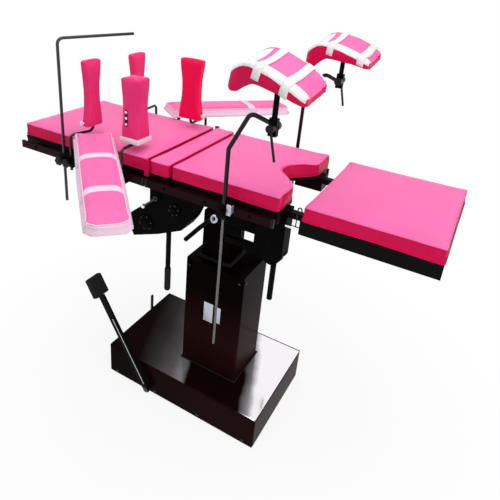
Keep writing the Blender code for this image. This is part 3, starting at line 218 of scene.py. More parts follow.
class DeliveryTableStage(bpy.types.PropertyGroup):
    """Floor, lamps and camera."""

    paper: colour_of("Floor", "Colour of the studio floor and background", (1.0, 1.0, 1.0))
    ambient: FloatProperty(
        name="Ambient", description="Strength of the light that comes from all round",
        default=0.50, min=0.0, max=2.0)
    overhead: FloatProperty(
        name="Overhead lamp", description="Power of the wide lamp above the table",
        default=42.0, min=0.0, max=1000.0, unit="POWER")
    foot_lamp: FloatProperty(
        name="Foot lamp", description="Power of the lamp on the foot side",
        default=28.0, min=0.0, max=1000.0, unit="POWER")
    shadow: FloatProperty(
        name="Shadow", description="Share of the floor's look that takes the table's shadow",
        default=0.12, min=0.0, max=1.0, subtype="FACTOR")
    shadow_reach: length_of("Shadow reach",
                            "Distance from the column at which the shadow has faded",
                            1.5, 0.5, 10.0)


class Number:
    """A number in a material. Arithmetic on it adds the Math nodes."""

    def __init__(self, finish, socket):
        self.finish = finish
        self.socket = socket

    def worked(self, operation, first, second):
        return self.finish.node("ShaderNodeMath", {"operation": operation}, {0: first, 1: second})

    def __add__(self, other):
        return self.worked("ADD", self, other)

    def __radd__(self, other):
        return self.worked("ADD", other, self)

    def __sub__(self, other):
        return self.worked("SUBTRACT", self, other)

    def __rsub__(self, other):
        return self.worked("SUBTRACT", other, self)

    def __mul__(self, other):
        return self.worked("MULTIPLY", self, other)

    def __rmul__(self, other):
        return self.worked("MULTIPLY", other, self)

    def __gt__(self, other):
        return self.worked("GREATER_THAN", self, other)

    def __lt__(self, other):
        return self.worked("LESS_THAN", self, other)


class Finish:
    """One material, with its nodes made by name."""

    def __init__(self, name, metallic=0.0, specular=0.5, coat=0.0):
        self.material = bpy.data.materials.new(name)
        self.material.use_nodes = True
        self.tree = self.material.node_tree
        self.shader = self.tree.nodes["Principled BSDF"]
        self.set("Metallic", metallic)
        self.set("Specular IOR Level", specular)
        self.set("Coat Weight", coat)
        FINISHES[name] = self.material

    def feed(self, socket, value):
        if isinstance(value, Number):
            self.tree.links.new(value.socket, socket)
        elif hasattr(value, "__len__") and len(value) == 3 and socket.type == "RGBA":
            socket.default_value = (*value, 1.0)
        else:
            socket.default_value = value

    def set(self, name, value):
        self.feed(self.shader.inputs[name], value)

    def node(self, kind, settings=None, values=None, output=0):
        """Any node: its settings first, a ramp's stops among them, then its sockets."""
        made = self.tree.nodes.new(kind)
        for key, value in (settings or {}).items():
            if key != "stops":
                setattr(made, key, value)
                continue
            ramp = made.color_ramp.elements
            while len(ramp) < len(value):
                ramp.new(1.0)
            for stop, (position, shade) in zip(ramp, value):
                stop.position = position
                stop.color = (shade, shade, shade, 1.0)
        for key, value in (values or {}).items():
            self.feed(made.inputs[key], value)
        return Number(self, made.outputs[output])

    def place(self):
        return self.node("ShaderNodeTexCoord", output="Object")

    def along(self, axis):
        """How far along one of the object's own axes a point lies."""
        return self.node("ShaderNodeSeparateXYZ", None, {0: self.place()}, output=axis)

    def clouds(self, size, detail=2.0, at=None):
        """Soft noise, from 0 to 1, whose patches are about this size."""
        return self.node("ShaderNodeTexNoise", None,
                         {"Vector": at or self.place(), "Scale": 1 / size, "Detail": detail})

    def cells(self, size, at=None):
        return self.node("ShaderNodeTexVoronoi", {"feature": "SMOOTH_F1"},
                         {"Vector": at or self.place(), "Scale": 1 / size, "Smoothness": 0.4})

    def stretched(self, scale, at=None):
        return self.node("ShaderNodeVectorMath", {"operation": "MULTIPLY"},
                         {0: at or self.place(), 1: scale})

    def mixed(self, share, first, second):
        return self.node("ShaderNodeMix", {"data_type": "RGBA"},
                         {0: share, 6: first, 7: second}, output=2)

    def ramp(self, value, *stops):
        return self.node("ShaderNodeValToRGB", {"stops": stops}, {0: value})

    def worn(self, size, detail, start, full):
        """Patches of wear: noise, cut off below start and whole from full on."""
        return self.ramp(self.clouds(size, detail), (start, 0.0), (full, 1.0))

    def relief(self, height, depth, strength=1.0):
        bump = self.node("ShaderNodeBump", None,
                         {"Height": height, "Distance": depth, "Strength": strength})
        self.set("Normal", bump)

    def facing(self, axis):
        """How far the surface faces one axis, from -1 to 1, in the object's own frame."""
        normal = self.node("ShaderNodeTexCoord", output="Normal")
        return self.node("ShaderNodeSeparateXYZ", None, {0: normal}, output=axis)


def shade(colour, factor):
    """A colour made lighter or darker, kept under white."""
    return tuple(min(0.97, max(0.0, part * factor)) for part in colour)


def vinyl(name, colour, grain, gloss=0.36):
    """Coated upholstery cloth: pressed grain, soft mottling and a waxy sheen."""
    made = Finish(name, specular=0.13)
    pores = made.cells(grain)
    creases = made.clouds(grain * 5, 4.0)
    patches = made.clouds(0.12, 3.0)
    scuffs = made.worn(0.035, 5.0, 0.52, 0.75)
    base = made.mixed(patches, shade(colour, 0.90), shade(colour, 1.10))
    base = made.mixed(scuffs * 0.10, base, shade(colour, 1.35))
    base = made.mixed((1 - pores) * 0.10, base, shade(colour, 0.72))
    made.set("Base Color", base)
    made.set("Roughness", gloss + patches * 0.10 + scuffs * 0.10)
    made.relief(pores * 0.55 + creases * 0.45, 0.00035, 0.5)


def webbing(name, colour):
    """Woven strap cloth, read from the strap's own length and width."""
    made = Finish(name, specular=0.1)
    run = made.node("ShaderNodeAttribute", {"attribute_name": "weave"}, output="Vector")
    warp, weft = (made.node("ShaderNodeTexWave", {"bands_direction": axis},
                            {"Vector": run, "Scale": threads, "Distortion": 0.6})
                  for axis, threads in (("X", 130.0), ("Y", 190.0)))
    thread = warp * weft
    soil = made.clouds(0.03, 4.0)
    base = made.mixed(thread, shade(colour, 0.90), shade(colour, 1.05))
    made.set("Base Color", made.mixed(soil * 0.20, base, shade(colour, 0.88)))
    made.set("Roughness", 0.72 + soil * 0.15)
    made.relief(thread, 0.0005, 0.7)


def gloss_enamel(name, colour):
    """Deep stoved enamel, darker up the column, with faint orange peel and wiping marks."""
    made = Finish(name, specular=0.008)
    wipes = made.clouds(0.16, 3.0, made.stretched((1.0, 1.0, 0.35)))
    dust = made.worn(0.010, 6.0, 0.60, 0.78)
    upper = made.ramp(made.along("Z") + wipes * 0.10, (0.42, 0.0), (0.62, 1.0))
    base = made.mixed(wipes * 0.6 + dust * 0.15, shade(colour, 0.8), shade(colour, 1.9))
    made.set("Base Color", made.mixed(upper, base, shade(colour, 0.18)))
    made.set("Roughness", 0.10 + wipes * 0.10 + dust * 0.12)
    made.relief(made.clouds(0.0045, 1.0), 0.0001, 0.25)


def deck_enamel(name, colour, steel):
    """The base cover: a polished deck, bright at its foot end, and a dark skirt that darkens
    towards the head end.

    The layout of bright metal and dark paint on the deck is painted reflection as well as polish:
    bright bands where the deck reflects the white background, dark paint where it reflects the
    column and the table above. The bands slant, given by their places across the deck. 0.5 moves
    the places into a ramp's range, which starts at 0.
    """
    made = Finish(name, specular=0.012)
    top = made.facing("Z") > 0.7
    along = made.along("X")
    wipes = made.clouds(0.14, 3.0)
    streaks = made.clouds(0.05, 4.0, made.stretched((1.0, 0.25, 1.0)))
    # Painted reflection as well as polish: the bands put bright metal where the deck reflects the
    # white background and leave dark paint where it reflects the column.
    past_column = along + made.along("Y") * 0.376 + 0.5
    polish_and_reflection = made.ramp(past_column + wipes * 0.05 - 0.025, (0.12, 0.0), (0.22, 0.05), (0.30, 0.14),
                       (0.355, 0.34), (0.375, 0.0), (0.635, 0.0), (0.665, 0.35), (0.70, 1.0))
    polished_and_reflecting = top * polish_and_reflection
    rub = made.clouds(0.004, 2.0, made.stretched((0.06, 1.0, 1.0)))
    scuffs = made.worn(0.02, 6.0, 0.60, 0.80)
    skirt = made.ramp(along + 0.5, (0.10, 0.12), (0.55, 1.0))
    paint = made.mixed(wipes * 0.5, shade(colour, 0.7), shade(colour, 1.7))
    # The darker paint on the top is painted reflection of the column and the table; on the sides
    # the paint darkens towards the head end.
    paint = made.mixed((1 - skirt) * (1 - top) + top * 0.45, paint, shade(colour, 0.12))
    metal = made.mixed(rub * 0.3 + streaks * 0.2, steel, shade(steel, 0.85))
    made.set("Base Color", made.mixed(polished_and_reflecting, paint, metal))
    made.set("Metallic", polished_and_reflecting)
    made.set("Roughness", 0.24 - polished_and_reflecting * 0.17 + scuffs * 0.06 + wipes * 0.05)
    made.relief(made.clouds(0.0045, 1.0) * 0.4 + rub * 0.3, 0.0001, 0.2)


def rail_enamel(name, colour, crimson):
    """Rail enamel, with the hinge ears above the frames in the cushions' crimson."""
    made = Finish(name, specular=0.06)
    ears = made.along("Z") > HINGE_EARS_FOOT
    wear = made.worn(0.02, 6.0, 0.55, 0.78)
    base = made.mixed(wear * 0.4, colour, shade(colour, 2.2))
    made.set("Base Color", made.mixed(ears, base, shade(crimson, 0.85)))
    made.set("Roughness", 0.38 + wear * 0.12)
    made.relief(made.clouds(0.0011, 2.0), 0.00012, 0.4)


def satin_enamel(name, colour):
    """Sprayed black enamel: fine texture, rubbed lighter on its upper faces."""
    made = Finish(name, specular=0.03)
    wear = made.worn(0.022, 6.0, 0.55, 0.75)
    dust = made.ramp(made.facing("Z"), (0.3, 0.0), (1.0, 1.0)) * made.clouds(0.05, 4.0)
    base = made.mixed(wear * 0.35, colour, shade(colour, 2.4))
    made.set("Base Color", made.mixed(dust * 0.20, base, shade(colour, 4.0)))
    made.set("Roughness", 0.36 + wear * 0.12 + dust * 0.15)
    made.relief(made.clouds(0.0011, 2.0), 0.00012, 0.5)


def casting(name, colour):
    """A painted casting: slightly lumpy skin under satin paint."""
    made = Finish(name, specular=0.015)
    skin = made.clouds(0.006, 5.0)
    wear = made.worn(0.03, 6.0, 0.55, 0.80)
    made.set("Base Color", made.mixed(wear * 0.4, colour, shade(colour, 2.6)))
    made.set("Roughness", 0.42 + skin * 0.15 - wear * 0.08)
    made.relief(skin * 0.7 + made.clouds(0.0014, 2.0) * 0.3, 0.0006, 0.6)


def plated(name, colour, rough=0.14):
    """Plated steel: streaks round the bar, wiping marks and small pits."""
    made = Finish(name, metallic=1.0)
    streaks = made.clouds(0.0025, 3.0, made.stretched((1.0, 1.0, 0.08)))
    pits = made.worn(0.0022, 2.0, 0.66, 0.74)
    base = made.mixed(streaks * 0.5, colour, shade(colour, 0.75))
    made.set("Base Color", made.mixed(pits * 0.5, base, shade(colour, 0.35)))
    made.set("Roughness", rough + made.clouds(0.05, 3.0) * 0.12 + pits * 0.2)
    made.relief(streaks - pits, 0.00006, 0.4)


def two_tone_rod(name, upper, lower):
    """A crutch's rod: dark plating above the clamp and bright below it."""
    made = Finish(name, metallic=1.0)
    streaks = made.clouds(0.0025, 3.0, made.stretched((1.0, 1.0, 0.08)))
    base = made.mixed(made.along("Z") > CRUTCH_CLAMP_FOOT, shade(lower, 0.20), shade(upper, 0.45))
    made.set("Base Color", made.mixed(streaks * 0.5, base, shade(upper, 0.5)))
    made.set("Roughness", 0.20 + made.clouds(0.05, 3.0) * 0.12)
    made.relief(streaks, 0.00006, 0.4)


def brushed_plate(name, colour):
    """A bare brushed plate."""
    made = Finish(name, metallic=0.85)
    lines = made.clouds(0.0012, 2.0, made.stretched((0.04, 1.0, 1.0)))
    made.set("Base Color", made.mixed(lines, shade(colour, 0.8), colour))
    made.set("Roughness", 0.30 + lines * 0.15 + made.clouds(0.02, 4.0) * 0.10)
    made.relief(lines, 0.00008, 0.5)


def rubber(name, colour):
    """Black rubber with a little bloom."""
    made = Finish(name, specular=0.08)
    bloom = made.clouds(0.02, 5.0)
    made.set("Base Color", made.mixed(bloom * 0.6, colour, shade(colour, 2.4)))
    made.set("Roughness", 0.66 + bloom * 0.2)
    made.relief(made.clouds(0.0012, 3.0), 0.0003, 0.6)


def laminate(name, colour):
    """The black boards under the cushions: fine pressed texture and scuffed edges."""
    made = Finish(name, specular=0.06)
    press = made.cells(0.0024)
    scuffs = made.worn(0.03, 6.0, 0.56, 0.78)
    made.set("Base Color", made.mixed(scuffs * 0.5, colour, shade(colour, 2.6)))
    made.set("Roughness", 0.45 + scuffs * 0.12 + press * 0.06)
    made.relief(press, 0.00015, 0.5)


def plastic(name, colour, gloss=0.2):
    """Moulded plastic of knobs and caps."""
    made = Finish(name, specular=0.12)
    flow = made.clouds(0.012, 4.0)
    nicks = made.worn(0.004, 4.0, 0.62, 0.74)
    made.set("Base Color", made.mixed(flow * 0.5 + nicks * 0.2, colour, shade(colour, 1.9)))
    made.set("Roughness", gloss + flow * 0.10 + nicks * 0.2)
    made.relief(flow * 0.5 + nicks, 0.0001, 0.4)


def dress(finish, *nodes):
    """Gives CAD nodes their finish."""
    for node in nodes:
        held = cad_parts[node]
        if not held.material_slots:
            held.data.materials.append(None)
        for entry in held.material_slots:
            entry.material = FINISHES[finish]


def shown(name, mesh, body, slot, *finishes):
    """Links a mesh as a piece that rides on a body."""
    made = bpy.data.objects.new(name, mesh)
    bpy.context.scene.collection.objects.link(made)
    mesh.materials.clear()
    for finish in finishes:
        mesh.materials.append(FINISHES[finish])
    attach(made, body)
    return made


def piece(cage, name, body, slot, finish, angle=35.0):
    """Turns a built-up bmesh into one piece, shaded smooth up to an edge angle."""
    mesh = bpy.data.meshes.new(name)
    bmesh.ops.recalc_face_normals(cage, faces=cage.faces)
    cage.to_mesh(mesh)
    cage.free()
    mesh.shade_smooth()
    mesh.set_sharp_from_angle(angle=math.radians(angle))
    return shown(name, mesh, body, slot, finish)


def turn_to(direction):
    return UP.rotation_difference(Vector(direction)).to_matrix().to_4x4()


def lathe(cage, profile, at, direction, steps=24, lobes=0, wave=0.0):
    """Turns a list of (radius, height) round an axis; lobes wave the radius."""
    place = Matrix.Translation(at) @ turn_to(direction)
    rings = []
    for radius, height in profile:
        if radius <= 0:
            rings.append([cage.verts.new(place @ Vector((0, 0, height)))])
            continue
        ring = []
        for step in range(steps):
            turn = 2 * math.pi * step / steps
            reach = radius * (1 + wave * math.cos(lobes * turn))
            ring.append(cage.verts.new(
                place @ Vector((reach * math.cos(turn), reach * math.sin(turn), height))))
        rings.append(ring)
    for low, high in zip(rings, rings[1:]):
        if len(low) == 1 and len(high) == 1:
            continue
        for step in range(steps):
            after = (step + 1) % steps
            corners = [low[step % len(low)], low[after % len(low)],
                       high[after % len(high)], high[step % len(high)]]
            unique = list(dict.fromkeys(corners))
            if len(unique) > 2:
                cage.faces.new(unique)
    for ring, back in ((rings[0], True), (rings[-1], False)):
        if len(ring) > 1:
            cage.faces.new(ring[::-1] if back else ring)


def block(cage, low, high, bevel=0.0, place=None):
    """A bevelled box between two corners."""
    low, high = Vector(low), Vector(high)
    made = bmesh.ops.create_cube(cage, size=1.0)["verts"]
    bmesh.ops.scale(cage, vec=high - low, verts=made)
    bmesh.ops.translate(cage, vec=(low + high) / 2, verts=made)
    if bevel:
        edges = list({edge for vert in made for edge in vert.link_edges})
        made = bmesh.ops.bevel(cage, geom=edges, offset=bevel, segments=2, profile=0.5,
                               affect="EDGES")["verts"]
    if place:
        bmesh.ops.transform(cage, matrix=place, verts=made)


def bolt(cage, at, direction, radius):
    """A socket-head bolt on a washer."""
    height = radius * 0.8
    lathe(cage, [(0, 0), (radius * 1.45, 0), (radius * 1.45, height * 0.22),
                 (radius, height * 0.24), (radius, height), (radius * 0.86, height * 1.12)],
          at, direction, 18)
    lathe(cage, [(radius * 0.5, height * 1.12), (radius * 0.44, height * 1.14),
                 (0, height * 1.13)], at, direction, 6)


def star_knob(cage, at, direction, radius, length, lobes):
    """A moulded knob with waves round its edge, on a short neck."""
    lathe(cage, [(radius * 0.42, 0), (radius * 0.45, length * 0.35), (radius * 0.9, length * 0.45),
                 (radius, length * 0.58), (radius, length * 0.85), (radius * 0.86, length * 0.97),
                 (radius * 0.45, length), (0, length * 0.99)], at, direction, 48, lobes, 0.085)


def wire(name, points, radius, body, finish, closed=False, round_steps=3):
    """A round cord or bent wire along a list of points."""
    curve = bpy.data.curves.new(name, "CURVE")
    curve.dimensions = "3D"
    curve.bevel_depth = radius
    curve.bevel_resolution = round_steps
    curve.use_fill_caps = True
    spline = curve.splines.new("POLY")
    spline.points.add(len(points) - 1)
    for entry, point in zip(spline.points, points):
        entry.co = (*point, 1.0)
    spline.use_cyclic_u = closed
    spline.use_smooth = True
    made = bpy.data.objects.new(name, curve)
    bpy.context.scene.collection.objects.link(made)
    curve.materials.append(FINISHES[finish])
    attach(made, body)
    return made


def eased(points, bend, steps=8):
    """A polyline with its corners rounded."""
    points = [Vector(point) for point in points]
    route = [points[0]]
    for before, corner, after in zip(points, points[1:], points[2:]):
        start = corner + (before - corner).normalized() * bend
        end = corner + (after - corner).normalized() * bend
        for step in range(steps + 1):
            share = step / steps
            route.append((1 - share) ** 2 * start + 2 * share * (1 - share) * corner
                         + share ** 2 * end)
    route.append(points[-1])
    return route


def even_mesh(node, step, place, tuck):
    """The node's solid on an even mesh, in the local frame given by place, tucked in a little."""
    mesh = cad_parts[node].data.copy()
    mesh.transform(place.inverted())
    cage = bmesh.new()
    cage.from_mesh(mesh)
    bmesh.ops.remove_doubles(cage, verts=cage.verts, dist=WELD)
    cage.to_mesh(mesh)
    cage.free()
    helper = bpy.data.objects.new("helper", mesh)
    bpy.context.scene.collection.objects.link(helper)
    remesh = helper.modifiers.new("even", "REMESH")
    remesh.mode = "VOXEL"
    remesh.voxel_size = step
    relax = helper.modifiers.new("relax", "SMOOTH")
    relax.factor = 0.5
    relax.iterations = 2
    graph = bpy.context.evaluated_depsgraph_get()
    made = bpy.data.meshes.new_from_object(helper.evaluated_get(graph))
    bpy.data.objects.remove(helper)
    bpy.data.meshes.remove(mesh)
    normals = [Vector(entry.vector) for entry in made.vertex_normals]
    for vert, normal in zip(made.vertices, normals):
        if normal.z > -FLAT_FACING:
            vert.co -= normal * tuck
    return made


def filled(mesh, sizes):
    """Blows the cover up with cloth simulation, its underside held flat, and caps the movement."""
    helper = bpy.data.objects.new("cover", mesh)
    bpy.context.scene.collection.objects.link(helper)
    held = helper.vertex_groups.new(name="held")
    underside = [vert.index for vert in mesh.vertices if vert.normal.z < -HELD_FACING]
    held.add(underside, 1.0, "REPLACE")
    cloth = helper.modifiers.new("filling", "CLOTH")
    cloth.settings.quality = 4
    cloth.settings.mass = 0.25
    cloth.settings.tension_stiffness = 25.0
    cloth.settings.compression_stiffness = 25.0
    cloth.settings.bending_stiffness = 1.5
    cloth.settings.use_pressure = True
    cloth.settings.uniform_pressure_force = sizes.pressure
    cloth.settings.vertex_group_mass = "held"
    cloth.settings.effector_weights.gravity = 0.0
    cloth.collision_settings.use_collision = False
    cloth.point_cache.frame_start = 1
    cloth.point_cache.frame_end = BLOWING_STEPS
    scene = bpy.context.scene
    for step in range(1, BLOWING_STEPS + 1):
        scene.frame_set(step)
    graph = bpy.context.evaluated_depsgraph_get()
    blown = helper.evaluated_get(graph).to_mesh()
    moves = [pushed.co - vert.co for vert, pushed in zip(mesh.vertices, blown.vertices)]
    helper.evaluated_get(graph).to_mesh_clear()
    beside = [[] for _ in mesh.vertices]
    for edge in mesh.edges:
        first, second = edge.vertices
        beside[first].append(second)
        beside[second].append(first)
    for _ in range(EVENING_ROUNDS):
        moves = [(move + sum((moves[other] for other in others), Vector()) / len(others)) / 2
                 for move, others in zip(moves, beside)]
    for vert, move in zip(mesh.vertices, moves):
        vert.co += move * min(1.0, sizes.give / max(move.length, 1e-9))
    bpy.data.objects.remove(helper)
    scene.frame_set(1)


def border(point, outline):
    """Distance from a point to a closed outline in plan, and how far round it lies."""
    best, best_run, run = 1e9, 0.0, 0.0
    flat = Vector(point[:2])
    for first, second in zip(outline, outline[1:] + outline[:1]):
        edge = second - first
        length = edge.length
        share = max(0.0, min(1.0, (flat - first).dot(edge) / length ** 2))
        away = (flat - first - edge * share).length
        if away < best:
            best, best_run = away, run + share * length
        run += length
    return best, best_run


def creased(point, normal, outline, low, high):
    """Where a cushion's surface moves to: a soft top, and puckers that run in from the seams."""
    away, run = border(point, outline)
    rise = max(0.0, min(1.0, (point.z - low) / (high - low)))
    soft = noise.noise(point * WANDER)
    if normal.z > FLAT_FACING:
        wave = math.sin(run * math.tau / PUCKER_PITCH + 5 * soft)
        return point + UP * PUCKER_DEPTH * (math.exp(-away / PUCKER_REACH) * wave + soft)
    if normal.z < -FLAT_FACING:
        return point
    out = Vector((normal.x, normal.y, 0)).normalized()
    crease = math.sin(run * math.tau / CREASE_PITCH + 6 * soft) * math.sin(math.pi * rise)
    return point + out * CREASE_DEPTH * crease


def settled(mesh, tops):
    """Each face's panel, taken over from most of its neighbours, so that seams run clean."""
    sides = {}
    for face in mesh.polygons:
        for edge in face.edge_keys:
            sides.setdefault(edge, []).append(face.index)
    beside = [[] for _ in mesh.polygons]
    for pair in sides.values():
        for first in pair:
            beside[first] += [second for second in pair if second != first]
    for _ in range(EVENING_ROUNDS):
        tops = [2 * (sum(tops[other] for other in others) + tops[index]) > len(others) + 1
                for index, others in enumerate(beside)]
    return tops


def heights(mesh):
    found = [vert.co.z for vert in mesh.vertices]
    return min(found), max(found)


def cushion(node, body, outline, place, sizes, step, finishes, seam=None):
    """A filled cushion in place of a CAD node: even mesh, blown-out panels, two vinyls.

    The finishes are those of the top, the sides and, where there is a third, the foot end, which is
    a
    darker copy of the side vinyl: painted shade. The sides' crimson is partly a deeper vinyl and
    partly painted shade. A sewn seam can run across the top at one x.
    """
    mesh = even_mesh(node, step, place, sizes.tuck)
    low, high = heights(mesh)
    least = low + TOP_FOOT_SHARE * (high - low)
    tops = settled(mesh, [face.normal.z > TOP_FACING and face.center.z > least
                          for face in mesh.polygons])
    for face, top in zip(mesh.polygons, tops):
        # Painted shade: the leg pad's foot end takes a darker copy of the side vinyl.
        shaded_foot_end = len(finishes) > 2 and face.normal.x > SHADED_END_FACING
        face.material_index = 0 if top else 2 if shaded_foot_end else 1
        face.use_smooth = True
    filled(mesh, sizes)
    low, high = heights(mesh)
    normals = [Vector(entry.vector) for entry in mesh.vertex_normals]
    for vert, normal in zip(mesh.vertices, normals):
        spot = creased(vert.co.copy(), normal, outline, low, high)
        if seam is not None and normal.z > FLAT_FACING:
            spot.z -= SEAM_DEPTH * math.exp(-((vert.co.x - seam) / SEAM_HALF) ** 2)
        vert.co = spot
    mesh.transform(place)
    panels = [face.material_index for face in mesh.polygons]
    made = shown(f"{node}_cushion", mesh, body, "pink_vinyl", *finishes)
    mesh.polygons.foreach_set("material_index", panels)
    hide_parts(node)
    return made


def surface(*pieces):
    """A search tree of the faces of some pieces, in the frame's axes."""
    points, faces = [], []
    for made in pieces:
        start = len(points)
        points += [vert.co.copy() for vert in made.data.vertices]
        faces += [[start + index for index in face.vertices] for face in made.data.polygons]
    return BVHTree.FromPolygons(points, faces)


def spaced(outline, step):
    """Points along a closed outline at about equal steps."""
    found = []
    for first, second in zip(outline, outline[1:] + outline[:1]):
        count = max(1, round((second - first).length / step))
        found += [first.lerp(second, share / count) for share in range(count)]
    return found


def smoothed(points, rounds=2):
    for _ in range(rounds):
        points = [(before + point * 2 + after) / 4 for before, point, after
                  in zip(points[-1:] + points[:-1], points, points[1:] + points[:1])]
    return points


def welt(name, made, outline, height, place, radius, body, finish):
    """Piping sewn round a cushion, laid on its surface."""
    tree = surface(made)
    route = []
    for flat in spaced(outline, PIPING_STEP):
        spot, normal, _, _ = tree.find_nearest(place @ Vector((flat.x, flat.y, height)))
        route.append(spot + normal * radius * 0.45)
    wire(name, smoothed(route), radius, body, finish, closed=True, round_steps=2)


def strip(name, rows, thickness, body, slot, finish, closed=False):
    """A flat strap through rows of points, its weave stored along and across it."""
    verts = [point for row in rows for point in row]
    across = len(rows[0])
    faces = []
    pairs = list(range(len(rows) - 1)) + ([len(rows) - 1] if closed else [])
    for row in pairs:
        after = (row + 1) % len(rows)
        for step in range(across - 1):
            faces.append((row * across + step, row * across + step + 1,
                          after * across + step + 1, after * across + step))
    mesh = bpy.data.meshes.new(name)
    mesh.from_pydata([tuple(point) for point in verts], [], faces)
    weave = mesh.attributes.new("weave", "FLOAT_VECTOR", "POINT")
    run = 0.0
    for row, points in enumerate(rows):
        if row:
            run += (points[0] - rows[row - 1][0]).length
        side = 0.0
        for step, point in enumerate(points):
            if step:
                side += (point - points[step - 1]).length
            weave.data[row * across + step].vector = (run, side, 0.0)
    mesh.shade_smooth()
    made = shown(name, mesh, body, slot, finish)
    shell = made.modifiers.new("thickness", "SOLIDIFY")
    shell.thickness = thickness
    shell.offset = 0.0
    return made


def arm_place(held):
    return (Matrix.Translation((ARM_PIVOT_X, held["side"] * ROD_Y, ARM_PAD_TOP))
            @ Matrix.Rotation(held["side"] * math.radians(held["angle"]), 4, "Z")
            @ Matrix.Rotation(math.radians(held["droop"]), 4, "Y"))


def crutch_place(held):
    return (Matrix.Translation((CRUTCH_EYE_X, held["side"] * CRUTCH_STEM_Y, held["pad"]))
            @ Matrix.Rotation(math.radians(held["tip"]), 4, "Y")
            @ Matrix.Rotation(math.radians(CRUTCH_ROLL), 4, "X"))


def plan(*points):
    """Points in plan, as vectors."""
    return [Vector(point) for point in points]


def rectangle(low, high):
    return plan((low.x, low.y), (high.x, low.y), (high.x, high.y), (low.x, high.y))


def seat_outline():
    low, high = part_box("seat_pad")
    return plan((low.x, low.y), (high.x, low.y), *((x, -half) for x, half in SEAT_CUT_OUT),
                *reversed(SEAT_CUT_OUT), (high.x, high.y), (low.x, high.y))


class TABLE_OT_finishes(bpy.types.Operator):
    """Makes the materials"""

    bl_idname = "table.finishes"
    bl_label = "Finishes"

    def execute(self, context):
        soft = context.scene.table_upholstery
        metal = context.scene.table_metal
        vinyl("pink_vinyl", soft.pink, soft.grain)
        # Side vinyl: partly its own deeper colour, partly painted shade of the sides.
        vinyl("crimson_vinyl", soft.crimson, soft.grain)
        # Painted shade: a darker copy of the side vinyl for the leg pad's foot end.
        vinyl("end_vinyl", shade(soft.crimson, 0.35), soft.grain)
        vinyl("support_vinyl", soft.support, soft.grain, 0.32)
        vinyl("red_vinyl", soft.red_support, soft.grain, 0.32)
        vinyl("pale_vinyl", soft.pale, soft.grain)
        webbing("white_webbing", soft.webbing)
        webbing("arm_webbing", soft.arm_webbing)
        gloss_enamel("maroon_enamel", metal.maroon)
        deck_enamel("deck", metal.maroon, metal.bright_steel)
        satin_enamel("black_enamel", metal.black)
        rail_enamel("rail_enamel", metal.rail, soft.crimson)
        casting("black_casting", metal.black)
        plated("dark_steel", metal.dark_steel, 0.20)
        two_tone_rod("crutch_rod", metal.dark_steel, metal.bright_steel)
        plated("bright_steel", metal.bright_steel)
        brushed_plate("bare_plate", metal.plate)
        rubber("black_rubber", metal.rubber)
        laminate("black_board", metal.black)
        plastic("black_plastic", metal.plastic)
        plastic("pale_plastic", metal.pale_plastic, 0.3)
        return {"FINISHED"}


class TABLE_OT_mattress(bpy.types.Operator):
    """Upholsters the back, kidney, seat and leg sections"""

    bl_idname = "table.mattress"
    bl_label = "Mattress sections"

    def execute(self, context):
        sizes = context.scene.table_upholstery
        sections = (("back_pad", "back", None, BACK_SEAM_X), ("kidney_pad", "kidney", None, None),
                    ("seat_pad", "top", seat_outline(), None), ("leg_pad", "leg", None, None))
        for node, body, outline, seam in sections:
            low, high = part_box(node)
            outline = outline or rectangle(low, high)
            # The leg's foot end gets the painted-shade copy of the side vinyl.
            finishes = ["pink_vinyl", "crimson_vinyl"] + ["end_vinyl"] * (body == "leg")
            made = cushion(node, body, outline, STILL, sizes, sizes.even, finishes, seam)
            for word, height, finish in (("top", high.z - 0.004, "pink_vinyl"),
                                         ("foot", low.z + 0.005, "crimson_vinyl")):
                welt(f"{node}_{word}_piping", made, outline, height, STILL, sizes.piping, body,
                     finish)
        return {"FINISHED"}


